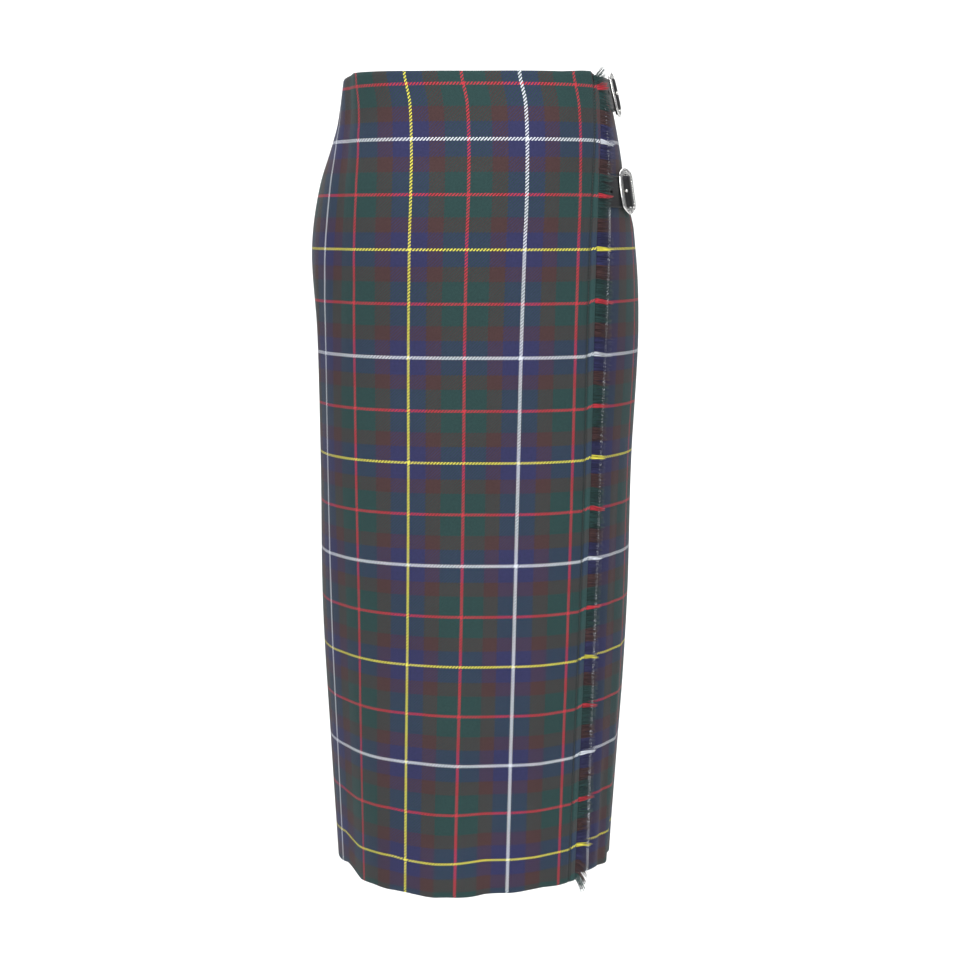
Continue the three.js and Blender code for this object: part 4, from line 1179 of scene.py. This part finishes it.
def make_prong(name, z, reach, material):
    """A prong: a ring round the bar, and a round shank that swells into a ball, sqrt(R^2 - d^2), on the front
    rail."""
    plane = buckle_plane(z, reach)
    middle, half_wall, half_width = PRONG_RING
    across, through = rounded_section(PRONG_SECTION, PRONG_SQUARENESS)
    turn = np.linspace(0, 2 * np.pi, PRONG_RING_STEPS, endpoint=False)[:, None]
    radius = middle + half_wall * across
    level = WALL_THICKNESS + BAR_RISE
    ring_x, ring_z = BAR_PLACE + radius * np.cos(turn), level + radius * np.sin(turn)
    ring = lofted(in_plane(plane, ring_x, half_width * through, ring_z), ring=True)
    tip = in_frame(plane, PRONG_TIP[0], 0.0, PRONG_TIP[1]) + plane[2] * PRONG_BALL
    start = in_plane(plane, BAR_PLACE - middle, 0.0, level)
    length = np.linalg.norm(tip - start)
    shank = np.linspace(0, 1 - 2 * PRONG_BALL / length, PRONG_SHANK_STEPS)
    ball = 1 - PRONG_BALL / length * np.cos(np.linspace(0, np.pi, PRONG_BALL_STEPS))
    way = np.concatenate([shank, ball[ball > shank[-1] + 0.01]])
    distance = (way - 1) * length
    sphere = np.sqrt(np.maximum(PRONG_BALL**2 - distance**2, 0.01))
    radii = np.where(distance > 0, sphere, np.maximum(sphere, PRONG_RADIUS))
    points, *faces = tubes((start + (tip - start) * way[:, None])[None], radii[None], plane[1], sides=18)
    points, faces = joined(ring, (points, faces))
    uv = np.ones((len(points), 2))
    piece = mesh_piece(f"prong_{name}_casting", points, faces, material, {"relief": uv})
    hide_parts(f"prong_{name}")


def make_closures(settings):
    """Both closures. Their tabs, which lie under the straps' tails, keep their solid's shape and get the
    leather."""
    leather, silver = strap_leather(settings), cast_silver(settings)
    for name, z, reach in CLOSURES:
        make_strap(name, z, reach, leather)
        make_buckle(name, z, reach, silver)
        make_prong(name, z, reach, silver)
        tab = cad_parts[f"tab_{name}"]
        tab.data.materials.clear()
        tab.data.materials.append(leather)


# The studio, in metres: a seamless pale sweep below and behind the skirt
FLOOR_BELOW_HEM = 0.5
SWEEP_BACK = 2.2
SWEEP_FRONT = -3.4
SWEEP_RADIUS = 0.9
SWEEP_WIDTH = 9.0
SWEEP_TOP = 4.0
SWEEP_STEPS = 24
CAMERA_PLACE = (0.0045, -1.752, -0.144)
CAMERA_DOWN_DEGREES = 9.0
CAMERA_LENS = 61.5
CAMERA_SENSOR = 36.0
CAMERA_REACH = 50.0
LIGHTS = (
    ("key_softbox", (-0.95, -2.8, 1.15), 1.6, 74.0),
    ("fill_softbox", (1.05, -2.8, 0.75), 1.6, 54.0),
    ("top_softbox", (0.0, -0.6, 2.4), 2.0, 34.0),
    ("low_softbox", (0.0, -2.6, -0.75), 1.2, 2.0),
    ("sweep_softbox", (0.0, 0.9, 1.9), 2.6, 50.0),
)
AIM = (0.0, 0.0, -0.42)
SURROUNDINGS_COLOUR = "F7F9FF"


def make_stage(settings):
    """The floor sweep, soft lights, plain surroundings, and the camera at the viewing angle."""
    floor = FRAME_LOW.z - FLOOR_BELOW_HEM
    angle = np.linspace(0, np.pi / 2, SWEEP_STEPS)
    bend = SWEEP_BACK - SWEEP_RADIUS + SWEEP_RADIUS * np.sin(angle)
    y = np.concatenate([[SWEEP_FRONT], bend, [SWEEP_BACK]])
    z = np.concatenate([[floor], floor + SWEEP_RADIUS * (1 - np.cos(angle)), [SWEEP_TOP]])
    x = np.array([-SWEEP_WIDTH / 2, SWEEP_WIDTH / 2])
    points = np.stack(np.broadcast_arrays(x[:, None], y[None, :], z[None, :]), axis=-1).reshape(-1, 3)
    quads = grid_faces(np.arange(len(points)).reshape(2, -1))[:, [0, 3, 2, 1]]
    mesh = new_mesh("studio_sweep", points / METRE, [quads])
    mesh.materials.append(studio_paper())
    new_object("studio_sweep", mesh)
    for name, place, size, power in LIGHTS:
        light = bpy.data.lights.new(name, "AREA")
        light.shape = "DISK"
        light.size = size
        light.energy = power
        lamp = new_object(name, light)
        lamp.location = place
        lamp.rotation_mode = "QUATERNION"
        lamp.rotation_quaternion = (Vector(AIM) - Vector(place)).to_track_quat("-Z", "Y")
    world = bpy.data.worlds.new("studio surroundings")
    world.use_nodes = True
    sky = world.node_tree.nodes["Background"]
    sky.inputs["Color"].default_value = linear(SURROUNDINGS_COLOUR)
    sky.inputs["Strength"].default_value = settings.surroundings
    bpy.context.scene.world = world
    lens = bpy.data.cameras.new("camera")
    lens.lens = CAMERA_LENS
    lens.sensor_width = CAMERA_SENSOR
    lens.clip_end = CAMERA_REACH
    camera = new_object("camera", lens)
    camera.location = CAMERA_PLACE
    camera.rotation_euler = (math.radians(90 - CAMERA_DOWN_DEGREES), 0, 0)
    bpy.context.scene.camera = camera
    bpy.context.scene.view_settings.view_transform = "Standard"


def colour_property(name, description, hex_colour):
    """A colour that a user would change, from its sRGB hex value."""
    return bpy.props.FloatVectorProperty(
        name=name, description=description, default=linear(hex_colour), size=4, min=0, max=1, subtype="COLOR"
    )


def length_property(name, description, millimetres):
    """A size that a user would change, kept in metres."""
    limits = {"default": millimetres * METRE, "min": 0.1 * METRE}
    return bpy.props.FloatProperty(name=name, description=description, unit="LENGTH", precision=5, **limits)


class SkirtSettings(bpy.types.PropertyGroup):
    """Sizes, colours and light that a user would change."""

    fringe_length: length_property("Fringe", "Greatest length of the frayed yarns along the free edge", 24.5)
    fringe_strands: bpy.props.IntProperty(
        name="Fringe Strands", description="Number of frayed yarns", default=3400, min=200, max=4000
    )
    stitch_pitch: length_property("Stitch Pitch", "From one stitch of the edge's line to the next", 3.2)
    yarn_width: length_property("Yarn", "Width of one yarn; drawn coarse, so that the twill shows", 0.82)
    green: colour_property("Green", "Bottle green yarn", "1E3635")
    blue: colour_property("Blue", "Dark blue yarn", "262749")
    brown: colour_property("Brown", "Dark brown yarn", "3B2828")
    red: colour_property("Red", "Scarlet yarn of the fine lines", "A42C36")
    yellow: colour_property("Yellow", "Yellow yarn of the fine lines", "C8C048")
    white: colour_property("White", "White yarn of the fine lines", "BEC2C9")
    leather: colour_property("Leather", "Strap leather", "0E0E10")
    silver: colour_property("Silver", "Buckle metal", "DAD9D6")
    surroundings: bpy.props.FloatProperty(
        name="Surroundings", description="Strength of the light from all round", default=0.36, min=0, max=3
    )


class SKIRT_OT_cloth(bpy.types.Operator):
    """Build the over apron, under apron, back panel, fringe and edge stitching"""

    bl_idname = "skirt.cloth"
    bl_label = "Cloth and Fringe"
    bl_options = {"UNDO"}

    def execute(self, context):
        over, under, back = make_panels(context.scene.skirt_settings)
        fringe = make_fringe(context.scene.skirt_settings)
        make_edge_stitches(context.scene.skirt_settings)
        return {"FINISHED"}


class SKIRT_OT_closures(bpy.types.Operator):
    """Build the straps and buckles, and give the tabs their leather"""

    bl_idname = "skirt.closures"
    bl_label = "Straps and Buckles"
    bl_options = {"UNDO"}

    def execute(self, context):
        make_closures(context.scene.skirt_settings)
        return {"FINISHED"}


class SKIRT_OT_stage(bpy.types.Operator):
    """Build the studio floor, lights and camera"""

    bl_idname = "skirt.stage"
    bl_label = "Studio"
    bl_options = {"UNDO"}

    def execute(self, context):
        make_stage(context.scene.skirt_settings)
        return {"FINISHED"}


class SKIRT_PT_panel(bpy.types.Panel):
    """Lists the skirt's pieces and colours"""

    bl_idname = "SKIRT_PT_panel"
    bl_label = "Tartan Wrap Skirt"
    bl_space_type = "VIEW_3D"
    bl_region_type = "UI"
    bl_category = "Skirt"

    def draw(self, context):
        column = self.layout.column()
        for name in SkirtSettings.__annotations__:
            column.prop(context.scene.skirt_settings, name)
        for operator in OPERATORS:
            column.operator(operator.bl_idname)


OPERATORS = (SKIRT_OT_cloth, SKIRT_OT_closures, SKIRT_OT_stage)
CLASSES = (SkirtSettings, *OPERATORS, SKIRT_PT_panel)


def register():
    """Makes the classes and the settings known to Blender."""
    for made in CLASSES:
        bpy.utils.register_class(made)
    bpy.types.Scene.skirt_settings = bpy.props.PointerProperty(type=SkirtSettings)


def unregister():
    """Takes them out again."""
    del bpy.types.Scene.skirt_settings
    for made in reversed(CLASSES):
        bpy.utils.unregister_class(made)


def main():
    register()
    bpy.ops.skirt.cloth()
    bpy.ops.skirt.closures()
    bpy.ops.skirt.stage()


if __name__ == "__main__":
    main()
